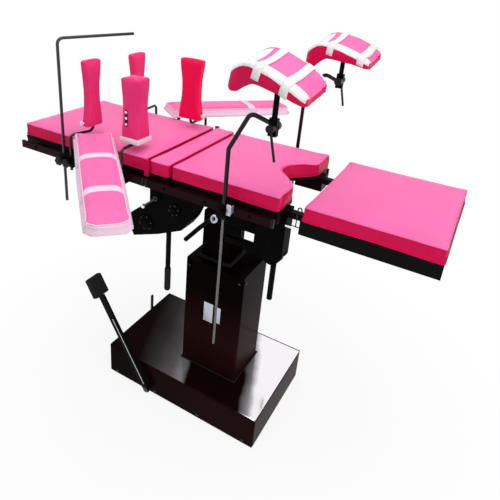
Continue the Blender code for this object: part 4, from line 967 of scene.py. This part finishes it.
class TABLE_OT_arm_boards(bpy.types.Operator):
    """Upholsters and straps the two arm boards"""

    bl_idname = "table.arm_boards"
    bl_label = "Arm boards"

    def execute(self, context):
        sizes = context.scene.table_upholstery
        for word, held in ARM_BOARDS.items():
            body = f"arm_{word}"
            place = arm_place(held)
            reach = held["reach"]
            end = ARM_HALF * (1 - ARM_TAPER)
            side = [(-ARM_TAIL, ARM_HALF), (reach * 0.5, ARM_HALF), (reach - ARM_CORNER, end),
                    (reach, end - ARM_CORNER)]
            outline = plan(*((x, -half) for x, half in side), *reversed(side))
            made = cushion(f"arm_pad_{word}", body, outline, place, sizes, sizes.fine,
                           ("pink_vinyl", "pale_vinyl"))
            welt(f"arm_pad_{word}_piping", made, outline, -0.003, place, sizes.piping, body,
                 "pale_vinyl")
            hem = self.hem(word, outline, place, surface(made))
            tree = surface(made, hem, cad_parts[f"arm_board_{word}"])
            for number, along in enumerate(held["straps"], 1):
                self.strap(word, number, along, place, sizes, tree)
            dress("black_board", f"arm_board_{word}")
        return {"FINISHED"}

    def hem(self, word, outline, place, tree):
        """The cover's pale hem, drawn down over the side and the edge of the board."""
        rows = []
        edge = spaced(outline, HEM_STEP)
        turned = place.to_3x3()
        for before, flat, after in zip(edge[-1:] + edge[:-1], edge, edge[1:] + edge[:1]):
            run = (after - before).normalized()
            out = Vector((run.y, -run.x, 0))
            row = []
            for height in (-0.014, -0.019, -0.024, -0.029):
                rim = Vector((*flat, height))
                spot = tree.ray_cast(place @ (rim + out * 0.03), turned @ -out, 0.05)[0]
                row.append((spot or place @ rim) + turned @ out * 0.0011)
            row += [place @ (Vector((*flat, height)) + out * 0.0018)
                    for height in (-0.034, -0.0375, -0.0405)]
            rows.append(row)
        return strip(f"arm_cover_hem_{word}", rows, STRAP_SHEET, f"arm_{word}", "pink_vinyl",
                     "pale_vinyl", closed=True)

    def strap(self, word, number, along, place, sizes, tree):
        """A strap pulled tight round the board and its cushion, by rays from a ring round both."""
        wide, high, low = ARM_HALF + 0.02, 0.02, -ARM_PAD_THICKNESS - 0.02
        ring = spaced(plan((-wide, low), (wide, low), (wide, high), (-wide, high)), STRAP_STEP)
        core = ARM_HALF - 0.014
        columns = []
        for share in (-0.5, -0.25, 0.0, 0.25, 0.5):
            column = []
            for flat in ring:
                side = max(-core, min(core, flat.x))
                x = along + sizes.strap * share + sizes.strap_bow * (flat.x / wide) ** 2
                start = place @ Vector((x, *flat))
                way = (place @ Vector((x, side, -0.02)) - start).normalized()
                spot = tree.ray_cast(start, way, 0.2)[0]
                column.append((spot or start) - way * 0.0013)
            columns.append(smoothed(column, 1))
        rows = [list(row) for row in zip(*columns)]
        strip(f"arm_strap_{word}_{number}", rows, STRAP_SHEET, f"arm_{word}", "pink_vinyl",
              "arm_webbing", closed=True)


class TABLE_OT_supports(bpy.types.Operator):
    """Upholsters the four body supports and adds their small fittings"""

    bl_idname = "table.supports"
    bl_label = "Body supports"

    def execute(self, context):
        sizes = context.scene.table_upholstery
        for number in range(1, 5):
            node = f"support_pad_{number}"
            body = f"support_head_{number}"
            low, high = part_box(node)
            finish = "red_vinyl" if number == 4 else "support_vinyl"
            made = cushion(node, body, rectangle(low, high), STILL, sizes, sizes.fine,
                           [finish] * 2)
            self.seams(node, made, low, high, sizes, body, finish)
            dress("black_enamel", f"support_clamp_{number}")
            dress("dark_steel", f"support_rod_{number}")
            if number == 3:
                self.latch(made, low, high)
        low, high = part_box("support_pad_4")
        self.release_knob(4, (high.x - 0.003, (low.y + high.y) / 2 - 0.004, 1.224), FOOTWARD,
                          0.011, 0.018)
        low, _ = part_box("support_pad_1")
        self.release_knob(1, (low.x + 0.010, low.y + 0.003, 1.216), (-0.6, -0.8, 0), 0.010, 0.016)
        return {"FINISHED"}

    def seams(self, node, made, low, high, sizes, body, finish):
        """Piping round the two broad faces."""
        tree = surface(made)
        size = high - low
        wide = 0 if size.x > size.y else 1
        thin = 1 - wide
        for side, word in SIDES.items():
            route = []
            for flat in spaced(plan((-1, -1), (1, -1), (1, 1), (-1, 1)), 0.12):
                guess = (low + high) / 2
                guess[wide] += flat.x * size[wide] / 2
                guess.z += flat.y * size.z / 2
                guess[thin] += side * size[thin] * 0.42
                route.append(tree.find_nearest(guess)[0])
            wire(f"{node}_piping_{word}", smoothed(route, 3), sizes.piping * 0.8, body,
                 finish, closed=True, round_steps=2)

    def latch(self, made, low, high):
        """The slotted latch on the near face of one support, and the foot below it. The slot is not
        cut: a black patch in its outline paints the shade inside it.
        """
        tree = surface(made)
        x = low.x * 0.62 + high.x * 0.38
        middle, half_height, radius = 1.283, 0.026, 0.0070
        ring = []
        for step in range(24):
            turn = 2 * math.pi * step / 24
            end = math.copysign(half_height, math.sin(turn + 0.001))
            ring.append(self.on_face(tree, x + radius * math.cos(turn),
                                     middle + radius * math.sin(turn) + end))
        # Painted shade: a flat black patch, a little proud of the face, stands for the shaded
        # opening of the slot.
        cage = bmesh.new()
        cage.faces.new([cage.verts.new(point) for point in ring])
        deep = bmesh.ops.extrude_face_region(cage, geom=cage.faces[:])["geom"]
        verts = [entry for entry in deep if isinstance(entry, bmesh.types.BMVert)]
        bmesh.ops.translate(cage, vec=FAR * 0.005, verts=verts)
        piece(cage, "support_latch_slot_shade", "support_head_3", "black_rubber", "black_rubber")
        cage = bmesh.new()
        for z in (middle + 0.023, middle, middle - 0.023):
            bolt(cage, self.on_face(tree, x, z), NEAR, 0.0036)
        piece(cage, "support_latch_studs", "support_head_3", "dark_steel", "bright_steel")
        cage = bmesh.new()
        block(cage, (low.x - 0.002, low.y - 0.005, low.z - 0.0135),
              (high.x + 0.005, high.y + 0.002, low.z + 0.0065), 0.005)
        piece(cage, "support_foot_plate", "support_head_3", "dark_steel", "pale_plastic")

    def on_face(self, tree, x, z):
        """A point just outside a support's near face."""
        return tree.ray_cast(Vector((x, -1.0, z)), FAR)[0] + NEAR * 0.0010

    def release_knob(self, number, at, direction, radius, length):
        cage = bmesh.new()
        star_knob(cage, at, direction, radius, length, 6)
        piece(cage, f"support_release_knob_{number}", f"support_head_{number}", "dark_steel",
              "pale_plastic")


class TABLE_OT_crutches(bpy.types.Operator):
    """Upholsters the two knee crutches and binds them with straps"""

    bl_idname = "table.crutches"
    bl_label = "Knee crutches"

    def execute(self, context):
        sizes = context.scene.table_upholstery
        outline = plan((CRUTCH_PAD_HEAD, -CRUTCH_PAD_HALF), (CRUTCH_PAD_FOOT, -CRUTCH_PAD_HALF),
                       (CRUTCH_PAD_FOOT, CRUTCH_PAD_HALF), (CRUTCH_PAD_HEAD, CRUTCH_PAD_HALF))
        for word, held in CRUTCHES.items():
            place = crutch_place(held)
            made = cushion(f"crutch_pad_{word}", f"crutch_head_{word}", outline, place, sizes,
                           sizes.fine, ("pink_vinyl", "crimson_vinyl"))
            tree = surface(made)
            for side, side_word in SIDES.items():
                rim = []
                for step in range(41):
                    x = -0.121 + 0.240 * step / 40
                    rim.append(((x, side * self.half_width(x)), (0, -side)))
                wide = sizes.binding * (1 if side < 0 else FAR_BINDING_SHARE)
                self.binding(f"{word}_{side_word}", word, rim, tree, place, wide)
            rim = [((CRUTCH_PAD_HEAD, -0.064 + 0.128 * step / 20), (1, 0)) for step in range(21)]
            self.binding(f"{word}_head", word, rim, tree, place,
                         sizes.binding * HEAD_BINDING_SHARE)
            for number, along in enumerate(held["straps"], 1):
                self.cross_strap(word, number, along, tree, place, sizes.crutch_strap)
            dress("crutch_rod", f"crutch_rod_{word}")
            dress("black_enamel", f"crutch_stem_{word}", f"crutch_clamp_{word}")
            dress("black_plastic", f"crutch_knob_{word}")
        return {"FINISHED"}

    def half_width(self, x):
        """Half a crutch pad's width at a distance along it."""
        return CRUTCH_PAD_HALF * (1 - CRUTCH_END_SHARE * min(1.0, abs(x + 0.001) / 0.124) ** 6)

    def struck(self, tree, place, start, way, lift):
        """Where a ray in the pad's own frame meets the pad, raised off it."""
        spot, normal, _, _ = tree.ray_cast(place @ start, place.to_3x3() @ way)
        return None if spot is None else spot + normal * lift

    def over_rim(self, tree, place, edge, inward, width, drop, lift):
        """Points from the side wall, over the rim and on to the top."""
        edge, inward = Vector((*edge, 0)), Vector((*inward, 0))
        above = edge + UP * RAY_START
        top = self.struck(tree, place, above + inward * 0.012, -UP, 0.0)
        if top is None:
            return [None]
        beside = edge - inward * 0.05 + UP * ((place.inverted() @ top).z - 0.003)
        wall = [self.struck(tree, place, beside - UP * drop * share, inward, lift)
                for share in (1.0, 0.7, 0.4, 0.15)]
        across = [self.struck(tree, place, above + inward * (0.006 + width * share), -UP, lift)
                  for share in (0.0, 0.15, 0.35, 0.6, 0.8, 1.0)]
        return wall + across

    def whole(self, row):
        """Whether a row of points was all found and lies close together."""
        return None not in row and all((after - before).length < LARGEST_STITCH
                                       for before, after in zip(row, row[1:]))

    def binding(self, name, word, rim, tree, place, width):
        """The pale band sewn over a rim of the pad."""
        rows = [self.over_rim(tree, place, start, inward, width, 0.007, BINDING_LIFT)
                for start, inward in rim]
        strip(f"crutch_binding_{name}", [row for row in rows if self.whole(row)], STRAP_SHEET,
              f"crutch_head_{word}", "pink_vinyl", "white_webbing")

    def cross_strap(self, word, number, along, tree, place, width):
        """A strap over the pad from side to side and down both side walls."""
        columns = []
        for share in (-0.5, -0.17, 0.17, 0.5):
            x = along + width * share
            half = self.half_width(x)
            near, far = (self.over_rim(tree, place, (x, side * half), (0, -side), 0.016, 0.032,
                                       CROSS_STRAP_LIFT) for side in SIDES)
            middle = [self.struck(tree, place, Vector((x, y, RAY_START)), -UP, 0.0026)
                      for y in (-0.052, -0.036, -0.018, 0.0, 0.018, 0.036, 0.052)]
            columns.append(near + middle + far[::-1])
        rows = [list(row) for row in zip(*columns) if self.whole(row)]
        strip(f"crutch_strap_{word}_{number}", rows, CROSS_STRAP_SHEET, f"crutch_head_{word}",
              "pink_vinyl", "white_webbing")


class TABLE_OT_top_frames(bpy.types.Operator):
    """Finishes the boards, rails, hinges and clamps of the table top"""

    bl_idname = "table.top_frames"
    bl_label = "Top frames and rails"

    def execute(self, context):
        metal = context.scene.table_metal
        dress("black_board", "back_frame", "seat_frame", "kidney_carrier", "leg_frame")
        dress("rail_enamel", "back_rail_near", "back_rail_far", "seat_rail_near", "seat_rail_far")
        dress("black_enamel", "arm_clamp_near", "arm_clamp_far", "screen_clamp", "pitch_bracket")
        self.rail_bolts(metal)
        self.aprons()
        self.rail_caps()
        self.knobs(metal)
        self.bright_knobs()
        self.stays()
        self.slides()
        return {"FINISHED"}

    def rail_bolts(self, metal):
        for body, places in (("top", (-0.144, 0.028, 0.200)), ("back", (-0.809, -0.6455))):
            cage = bmesh.new()
            for x in places:
                for side in SIDES:
                    bolt(cage, Vector((x, side * RAIL_FACE, RAIL_Z)), (0, side, 0), metal.bolt)
            piece(cage, f"rail_bolts_{body}", body, "dark_steel", "black_enamel")

    def aprons(self):
        """The strips that stiffen the back board's edges, behind the rails."""
        head, foot, low, high, bevel = -0.8895, -0.3600, 1.0530, 1.0885, 0.0008
        cage = bmesh.new()
        for side in SIDES:
            inner, outer = sorted((side * 0.2400, side * 0.2436))
            block(cage, (head, inner, low), (foot, outer, high), bevel)
        block(cage, (head, -0.2395, low), (head + 0.0035, 0.2395, high), bevel)
        piece(cage, "back_board_aprons", "back", "black_board", "black_board")

    def rail_caps(self):
        for body, ends in (("top", (-0.2305, 0.287)), ("back", (-0.891, -0.2365))):
            cage = bmesh.new()
            for side in SIDES:
                inner, outer = sorted((side * 0.2612, side * (RAIL_FACE + 0.0008)))
                for x, way in zip(ends, (-1, 1)):
                    start, stop = sorted((x - way * 0.010, x + way * 0.0005))
                    block(cage, (start, inner, RAIL_Z - 0.0158), (stop, outer, RAIL_Z + 0.0158),
                          0.0012)
            piece(cage, f"rail_caps_{body}", body, "black_enamel", "black_plastic")

    def knobs(self, metal):
        """Lobed heads over the clamps' screws."""
        heads = {"back": ("arm_clamp_near", "arm_clamp_far", "support_clamp_1", "support_clamp_2",
                          "support_clamp_3", "support_clamp_4", "screen_clamp"),
                 "top": ("crutch_clamp_far",)}
        for body, clamps in heads.items():
            cage = bmesh.new()
            for clamp in clamps:
                at = sum(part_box(clamp), Vector()) / 2
                side = math.copysign(1, at.y)
                at.y = side * (CLAMP_FACE + 0.006)
                star_knob(cage, at, (0, side, 0), 0.0175, 0.020, metal.lobes)
            piece(cage, f"clamp_knobs_{body}", body, "black_enamel", "black_plastic")

    def bright_knobs(self):
        """The plated ring knob and the folded bracket on the near crutch's clamp."""
        low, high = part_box("crutch_clamp_near")
        way = Vector((-0.30, -0.90, 0.30)).normalized()
        at = Vector((low.x - 0.001, -0.3050, 1.0400))
        cage = bmesh.new()
        lathe(cage, [(0, -0.006), (0.0090, -0.005), (0.0125, 0.0), (0.0150, 0.0035),
                     (0.0150, 0.0075), (0.0130, 0.0095), (0.0092, 0.0085), (0.0084, 0.0045),
                     (0, 0.0042)], at, way, 36)
        piece(cage, "crutch_clamp_knob", "top", "dark_steel", "bare_plate")
        cage = bmesh.new()
        lathe(cage, [(0.0060, 0), (0.0060, 0.0018), (0.0045, 0.0028), (0, 0.003)],
              at + way * 0.0044, way, 24)
        piece(cage, "crutch_clamp_knob_cap", "top", "black_rubber", "black_rubber")
        face, bevel = -0.3005, 0.0010
        cage = bmesh.new()
        block(cage, (high.x - 0.001, face, 1.0640), (high.x + 0.0150, face + 0.003, 1.1040), bevel)
        block(cage, (high.x + 0.0130, face, 1.0700), (high.x + 0.0165, -0.2800, 1.0980), bevel)
        for z in (1.0930, 1.0750):
            bolt(cage, Vector((high.x + 0.0070, face, z)), NEAR, 0.0036)
        piece(cage, "crutch_clamp_bracket", "top", "dark_steel", "bare_plate")

    def stays(self):
        """The pierced gusset by the leg socket, and the lever that hangs before the column."""
        cage = bmesh.new()
        y, half = -0.157, 0.004
        for start, stop in (((0.040, 0.943), (0.197, 1.046)), ((0.060, 0.872), (0.197, 0.9065)),
                            ((0.040, 0.895), (0.1245, 0.946)), ((0.1775, 0.900), (0.197, 0.946))):
            block(cage, (start[0], y - half, start[1]), (stop[0], y + half, stop[1]), 0.001)
        piece(cage, "socket_gusset", "top", "black_casting", "black_casting")
        route = [(x, -0.205, z) for x, z in ((0.075, 1.046), (0.075, 1.020), (-0.018, 0.928),
                                             (-0.084, 0.848))]
        wire("pitch_lock_lever", eased(route, 0.012, 5), 0.0088, "top",
             "black_enamel", round_steps=4)

    def slides(self):
        """The plated slide of the leg section and its small catch."""
        cage = bmesh.new()
        block(cage, (0.306, -0.216, 1.043), (0.3690, -0.204, 1.0514), 0.002)
        piece(cage, "leg_slide", "leg", "dark_steel", "bright_steel")
        route = eased([(0.340, -0.209, 1.050), (0.340, -0.207, 1.118), (0.350, -0.207, 1.122),
                       (0.354, -0.207, 1.110)], 0.005, 5)
        wire("leg_catch", route, 0.0022, "leg", "dark_steel")


class TABLE_OT_column_and_base(bpy.types.Operator):
    """Finishes the base, the column covers and the hydraulic parts"""

    bl_idname = "table.column_and_base"
    bl_label = "Column and base"

    def execute(self, context):
        dress("deck", "base_cover")
        dress("black_enamel", "base_plate")
        dress("maroon_enamel", "column_cover_lower", "column_cover_upper")
        dress("black_casting", "pump_block", "ram_and_fork")
        dress("bright_steel", "hydraulic_cylinder")
        dress("dark_steel", "tilt_cross")
        base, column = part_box("base_cover"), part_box("column_cover_lower")
        self.bead(*base)
        self.wiper(column[1].z, *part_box("column_cover_upper"))
        self.screws(*base, *column)
        self.seal(base[1].z, *column)
        self.plates(column[0].y)
        self.feet(*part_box("base_plate"))
        return {"FINISHED"}

    def bead(self, low, high):
        """The bead round the edge of the deck."""
        inset, corner = 0.001, 0.004
        edge = [Vector((x, y, high.z - 0.0012)) for x, y in (
            (low.x + corner, low.y + inset), (high.x - corner, low.y + inset),
            (high.x - inset, low.y + corner), (high.x - inset, high.y - corner),
            (high.x - corner, high.y - inset), (low.x + corner, high.y - inset),
            (low.x + inset, high.y - corner), (low.x + inset, low.y + corner))]
        wire("deck_bead", edge, 0.0014, "base", "maroon_enamel", closed=True)

    def collar(self, cage, low, high, width, gap, lap, foot, top, end_bevel):
        """Four strips round a box: two along it, and two across its ends, that lap its sides."""
        for y, stop in ((low.y - width, low.y - gap), (high.y + gap, high.y + width)):
            block(cage, (low.x - width, y, foot), (high.x + width, stop, top), 0.0012)
        for x, stop in ((low.x - width, low.x - gap), (high.x + gap, high.x + width)):
            block(cage, (x, low.y - lap, foot), (stop, high.y + lap, top), end_bevel)

    def wiper(self, base, low, high):
        """The stepped collar in which the sleeve slides."""
        cage = bmesh.new()
        for width, rise in ((0.014, 0.0), (0.010, 0.005)):
            self.collar(cage, low, high, width, 0.0008, 0.0006, base + rise - 0.0002,
                        base + rise + 0.005, 0.0008)
        piece(cage, "sleeve_wiper", "base", "black_rubber", "black_rubber")

    def screws(self, low, high, column_low, column_high):
        """Screws near the corners of each column face, and along both sides of the base."""
        heights = (column_low.z + 0.030, column_high.z - 0.030)
        cage = bmesh.new()
        for x in (column_low.x + 0.018, column_high.x - 0.018):
            for z in heights:
                bolt(cage, Vector((x, column_low.y, z)), NEAR, 0.0038)
                bolt(cage, Vector((x, column_high.y, z)), FAR, 0.0038)
        for y in (column_low.y + 0.020, column_high.y - 0.020):
            for z in heights:
                bolt(cage, Vector((column_high.x, y, z)), FOOTWARD, 0.0038)
                bolt(cage, Vector((column_low.x, y, z)), HEADWARD, 0.0038)
        for share in (0.06, 0.35, 0.65, 0.94):
            x = low.x + (high.x - low.x) * share
            bolt(cage, Vector((x, low.y, low.z + 0.020)), NEAR, 0.0042)
            bolt(cage, Vector((x, high.y, low.z + 0.020)), FAR, 0.0042)
        piece(cage, "cover_screws", "base", "dark_steel", "dark_steel")

    def seal(self, deck, low, high):
        """The rubber strip round the foot of the column."""
        cage = bmesh.new()
        self.collar(cage, low, high, 0.005, 0.0004, 0.0, deck + 0.0001, deck + 0.0045, 0.0012)
        piece(cage, "column_seal", "base", "black_rubber", "black_rubber")

    def plates(self, face):
        """Two bare plates on the column's near face."""
        front = face - 0.0012
        cage = bmesh.new()
        for start, stop in (((-0.036, 0.424), (0.008, 0.520)), ((0.020, 0.436), (0.044, 0.516))):
            block(cage, (start[0], front, start[1]), (stop[0], face - 0.0001, stop[1]), 0.0005)
        piece(cage, "bare_plates", "base", "dark_steel", "bare_plate")
        cage = bmesh.new()
        for x, z in ((-0.032, 0.516), (0.004, 0.516), (-0.032, 0.428), (0.004, 0.428),
                     (0.032, 0.512), (0.032, 0.440)):
            bolt(cage, Vector((x, front, z)), NEAR, 0.0012)
        piece(cage, "plate_rivets", "base", "dark_steel", "bright_steel")

    def feet(self, low, high):
        """Rubber treads round the base's four feet."""
        inset = 0.036
        cage = bmesh.new()
        for x in (low.x + inset, high.x - inset):
            for y in (low.y + inset, high.y - inset):
                lathe(cage, [(0.024, 0.0004), (0.026, 0.002), (0.0255, 0.0075), (0.022, 0.0096),
                             (0.016, 0.0097)], Vector((x, y, 0)), UP, 28)
        piece(cage, "foot_treads", "base", "black_rubber", "black_rubber")


class TABLE_OT_gear_and_controls(bpy.types.Operator):
    """Finishes the gear housing, levers, pedals and the screen"""

    bl_idname = "table.gear_and_controls"
    bl_label = "Gear and controls"

    def execute(self, context):
        dress("black_casting", "gear_housing", "leg_socket")
        dress("black_enamel", "crank_handle", "leg_lock_handle", "pump_lever")
        dress("dark_steel", "tilt_lever", "screen_rod", "release_pedal")
        dress("black_rubber", "pump_pedal")
        self.housing()
        self.grips()
        self.pedal()
        return {"FINISHED"}

    def housing(self):
        """The stepped caps over the gear shafts, each with a ring of six bolts."""
        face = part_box("gear_housing")[0].y + 0.0175
        cage = bmesh.new()
        for x, z, radius, _ in HOUSING_CAPS:
            lathe(cage, [(radius, 0), (radius, 0.004), (radius * 0.92, 0.006),
                         (radius * 0.5, 0.0068), (radius * 0.45, 0.011), (radius * 0.3, 0.012),
                         (0, 0.012)], Vector((x, face, z)), NEAR, 36)
        piece(cage, "gear_caps", "top", "black_casting", "black_casting")
        cage = bmesh.new()
        for x, z, _, ring in HOUSING_CAPS:
            for step in range(6):
                turn = math.pi / 3 * step + 0.3
                bolt(cage, Vector((x + ring * math.cos(turn), face - 0.0058,
                                   z + ring * math.sin(turn))), NEAR, 0.0026)
        piece(cage, "gear_cap_bolts", "top", "dark_steel", "dark_steel")

    def grips(self):
        """The ribbed grip of the crank, and the ball on the tilt lever."""
        cage = bmesh.new()
        low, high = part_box("crank_handle")
        ribs = []
        for step in range(12):
            z = low.z + 0.004 + step * 0.0085
            ribs += [(0.0122, z), (0.0132, z + 0.002), (0.0132, z + 0.0055), (0.0122, z + 0.0075)]
        lathe(cage, [(0, low.z - 0.001), (0.010, low.z)] + ribs + [(0.0110, ribs[-1][1] + 0.002)],
              Vector(((low.x + high.x) / 2, (low.y + high.y) / 2, 0)), UP, 24)
        piece(cage, "crank_grip", "crank", "black_rubber", "black_rubber")
        cage = bmesh.new()
        low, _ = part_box("tilt_lever")
        lathe(cage, [(0, -0.009), (0.006, -0.0075), (0.0088, -0.003), (0.0088, 0.003),
                     (0.006, 0.0075), (0, 0.009)], Vector((low.x + 0.002, -0.246, low.z + 0.002)),
              (-0.76, 0, -0.65), 20)
        piece(cage, "tilt_lever_ball", "tilt_grip", "black_enamel", "bright_steel")

    def pedal(self):
        """Ribs across the pump pedal, the cap on its pivot, and a bright strip along its lever that
        paints a highlight on the lever's edge.
        """
        turn = math.radians(PUMP_ANGLE)
        along = Vector((math.cos(turn), 0, math.sin(turn)))
        x, z = PUMP_PIVOT
        start = Vector((x, -0.262, z)) + along * 0.4783
        place = Matrix.Translation(start) @ Matrix.Rotation(-turn, 4, "Y")
        cage = bmesh.new()
        for step in range(7):
            rib = 0.010 + step * 0.0118
            for side in SIDES:
                face = side * 0.0155
                block(cage, (rib, -0.034, face - 0.0015), (rib + 0.005, 0.034, face + 0.0015),
                      0.0012, place)
        piece(cage, "pedal_treads", "pump", "black_rubber", "black_rubber")
        cage = bmesh.new()
        lathe(cage, [(0.014, 0), (0.014, 0.003), (0.011, 0.0045), (0.006, 0.005), (0, 0.005)],
              Vector((x, -0.267, z)), NEAR, 28)
        piece(cage, "pump_pivot_cap", "pump", "dark_steel", "dark_steel")
        # Painted highlight: a bare-plate strip along the lever's edge stands for the glint seen
        # there.
        start = Vector((x, -0.2688, z)) + Vector((along.z, 0, -along.x)) * 0.006
        wire("pump_lever_glint_strip", [start + along * reach for reach in (0.03, 0.15, 0.27, 0.36)],
             0.0016, "pump", "bare_plate")


class TABLE_OT_stage(bpy.types.Operator):
    """Lays the floor and sets the world, lamps and camera"""

    bl_idname = "table.stage"
    bl_label = "Stage"

    def execute(self, context):
        stage = context.scene.table_stage
        self.floor(context, stage)
        self.world(context, stage)
        self.lamp(context, "overhead", (-0.2, -0.4, 3.4), (0.0, 0.0, 0.9), 2.6, stage.overhead)
        self.lamp(context, "foot_side", (2.8, -0.9, 1.9), (0.0, 0.0, 1.1), 1.4, stage.foot_lamp)
        self.camera(context)
        return {"FINISHED"}

    def seen(self, finish):
        """1 for rays from the camera, off gloss or through glass, else 0."""
        looks, reflects, passes = (finish.node("ShaderNodeLightPath", output=f"Is {kind} Ray")
                                   for kind in ("Camera", "Glossy", "Transmission"))
        return looks + reflects + passes

    def floor(self, context, stage):
        paper = Finish("studio_paper", specular=0.0)
        paper.set("Base Color", shade(stage.paper, 0.97))
        paper.set("Roughness", 0.9)
        glow = paper.node("ShaderNodeEmission", None,
                          {"Color": tuple(stage.paper), "Strength": 1.0})
        away = paper.node("ShaderNodeVectorMath", {"operation": "LENGTH"}, {0: paper.place()},
                          output="Value")
        near = paper.ramp(away * (1 / stage.shadow_reach), (0.45, 1.0), (1.0, 0.0))
        share = self.seen(paper) * (1 - near * stage.shadow)
        mixed = paper.node("ShaderNodeMixShader", None,
                           {0: share, 1: Number(paper, paper.shader.outputs[0]), 2: glow})
        output = paper.tree.nodes["Material Output"]
        paper.feed(output.inputs["Surface"], mixed)
        cage = bmesh.new()
        bmesh.ops.create_grid(cage, x_segments=1, y_segments=1, size=60.0)
        bmesh.ops.translate(cage, vec=(0, 0, -0.0005), verts=cage.verts)
        mesh = bpy.data.meshes.new("studio_floor")
        cage.to_mesh(mesh)
        cage.free()
        mesh.materials.append(paper.material)
        made = bpy.data.objects.new("studio_floor", mesh)
        context.scene.collection.objects.link(made)

    def world(self, context, stage):
        world = bpy.data.worlds.new("studio")
        world.use_nodes = True
        context.scene.world = world
        tree = world.node_tree
        background = tree.nodes["Background"]
        background.inputs["Color"].default_value = (*stage.paper, 1.0)
        path = tree.nodes.new("ShaderNodeLightPath")
        lit = tree.nodes.new("ShaderNodeMath")
        lit.operation = "MAXIMUM"
        tree.links.new(path.outputs["Is Camera Ray"], lit.inputs[0])
        tree.links.new(path.outputs["Is Glossy Ray"], lit.inputs[1])
        strength = tree.nodes.new("ShaderNodeMapRange")
        strength.inputs["To Min"].default_value = stage.ambient
        strength.inputs["To Max"].default_value = 1.0
        tree.links.new(lit.outputs[0], strength.inputs["Value"])
        tree.links.new(strength.outputs["Result"], background.inputs["Strength"])

    def lamp(self, context, name, at, target, size, power):
        light = bpy.data.lights.new(name, "AREA")
        light.size = size
        light.energy = power
        made = bpy.data.objects.new(name, light)
        made.location = at
        made.rotation_euler = (Vector(target) - Vector(at)).to_track_quat("-Z", "Y").to_euler()
        context.scene.collection.objects.link(made)

    def camera(self, context):
        """The photograph's viewpoint: the frame is 500 by 500."""
        turn, rise, roll = (math.radians(angle) for angle in (30.7, 24.1, 3.2))
        back = Vector((math.sin(turn) * math.cos(rise), -math.cos(turn) * math.cos(rise),
                       math.sin(rise)))
        right = Vector((math.cos(turn), math.sin(turn), 0))
        up = back.cross(right)
        level = right * math.cos(roll) + up * math.sin(roll)
        upright = up * math.cos(roll) - right * math.sin(roll)
        lens = bpy.data.cameras.new("photograph")
        lens.sensor_width = 36.0
        lens.lens = 36.0 * 501 / 500
        lens.shift_x = 0.10
        lens.shift_y = -0.14
        made = bpy.data.objects.new("photograph", lens)
        place = Matrix((level, upright, back)).transposed().to_4x4()
        place.translation = Vector((0.799, -1.608, 1.842))
        made.matrix_world = place
        context.scene.collection.objects.link(made)
        context.scene.camera = made
        context.scene.view_settings.view_transform = "Standard"


class TABLE_PT_sidebar(bpy.types.Panel):
    """Shows the table's settings and building steps in the sidebar"""

    bl_idname = "TABLE_PT_sidebar"
    bl_label = "Delivery table"
    bl_space_type = "VIEW_3D"
    bl_region_type = "UI"
    bl_category = "Delivery table"

    def draw(self, context):
        for group in (context.scene.table_upholstery, context.scene.table_metal,
                      context.scene.table_stage):
            box = self.layout.box()
            for key in group.__annotations__:
                box.prop(group, key)
        for operator in OPERATORS:
            self.layout.operator(operator.bl_idname)


GROUPS = {
    "table_upholstery": DeliveryTableUpholstery,
    "table_metal": DeliveryTableMetal,
    "table_stage": DeliveryTableStage,
}
OPERATORS = (
    TABLE_OT_finishes,
    TABLE_OT_mattress,
    TABLE_OT_arm_boards,
    TABLE_OT_supports,
    TABLE_OT_crutches,
    TABLE_OT_top_frames,
    TABLE_OT_column_and_base,
    TABLE_OT_gear_and_controls,
    TABLE_OT_stage,
)


def register():
    for name, group in GROUPS.items():
        bpy.utils.register_class(group)
        setattr(bpy.types.Scene, name, PointerProperty(type=group))
    for operator in OPERATORS:
        bpy.utils.register_class(operator)
    bpy.utils.register_class(TABLE_PT_sidebar)


def unregister():
    bpy.utils.unregister_class(TABLE_PT_sidebar)
    for operator in reversed(OPERATORS):
        bpy.utils.unregister_class(operator)
    for name, group in reversed(GROUPS.items()):
        delattr(bpy.types.Scene, name)
        bpy.utils.unregister_class(group)


def main():
    register()
    bpy.ops.table.finishes()
    bpy.ops.table.mattress()
    bpy.ops.table.arm_boards()
    bpy.ops.table.supports()
    bpy.ops.table.crutches()
    bpy.ops.table.top_frames()
    bpy.ops.table.column_and_base()
    bpy.ops.table.gear_and_controls()
    bpy.ops.table.stage()


if __name__ == "__main__":
    main()
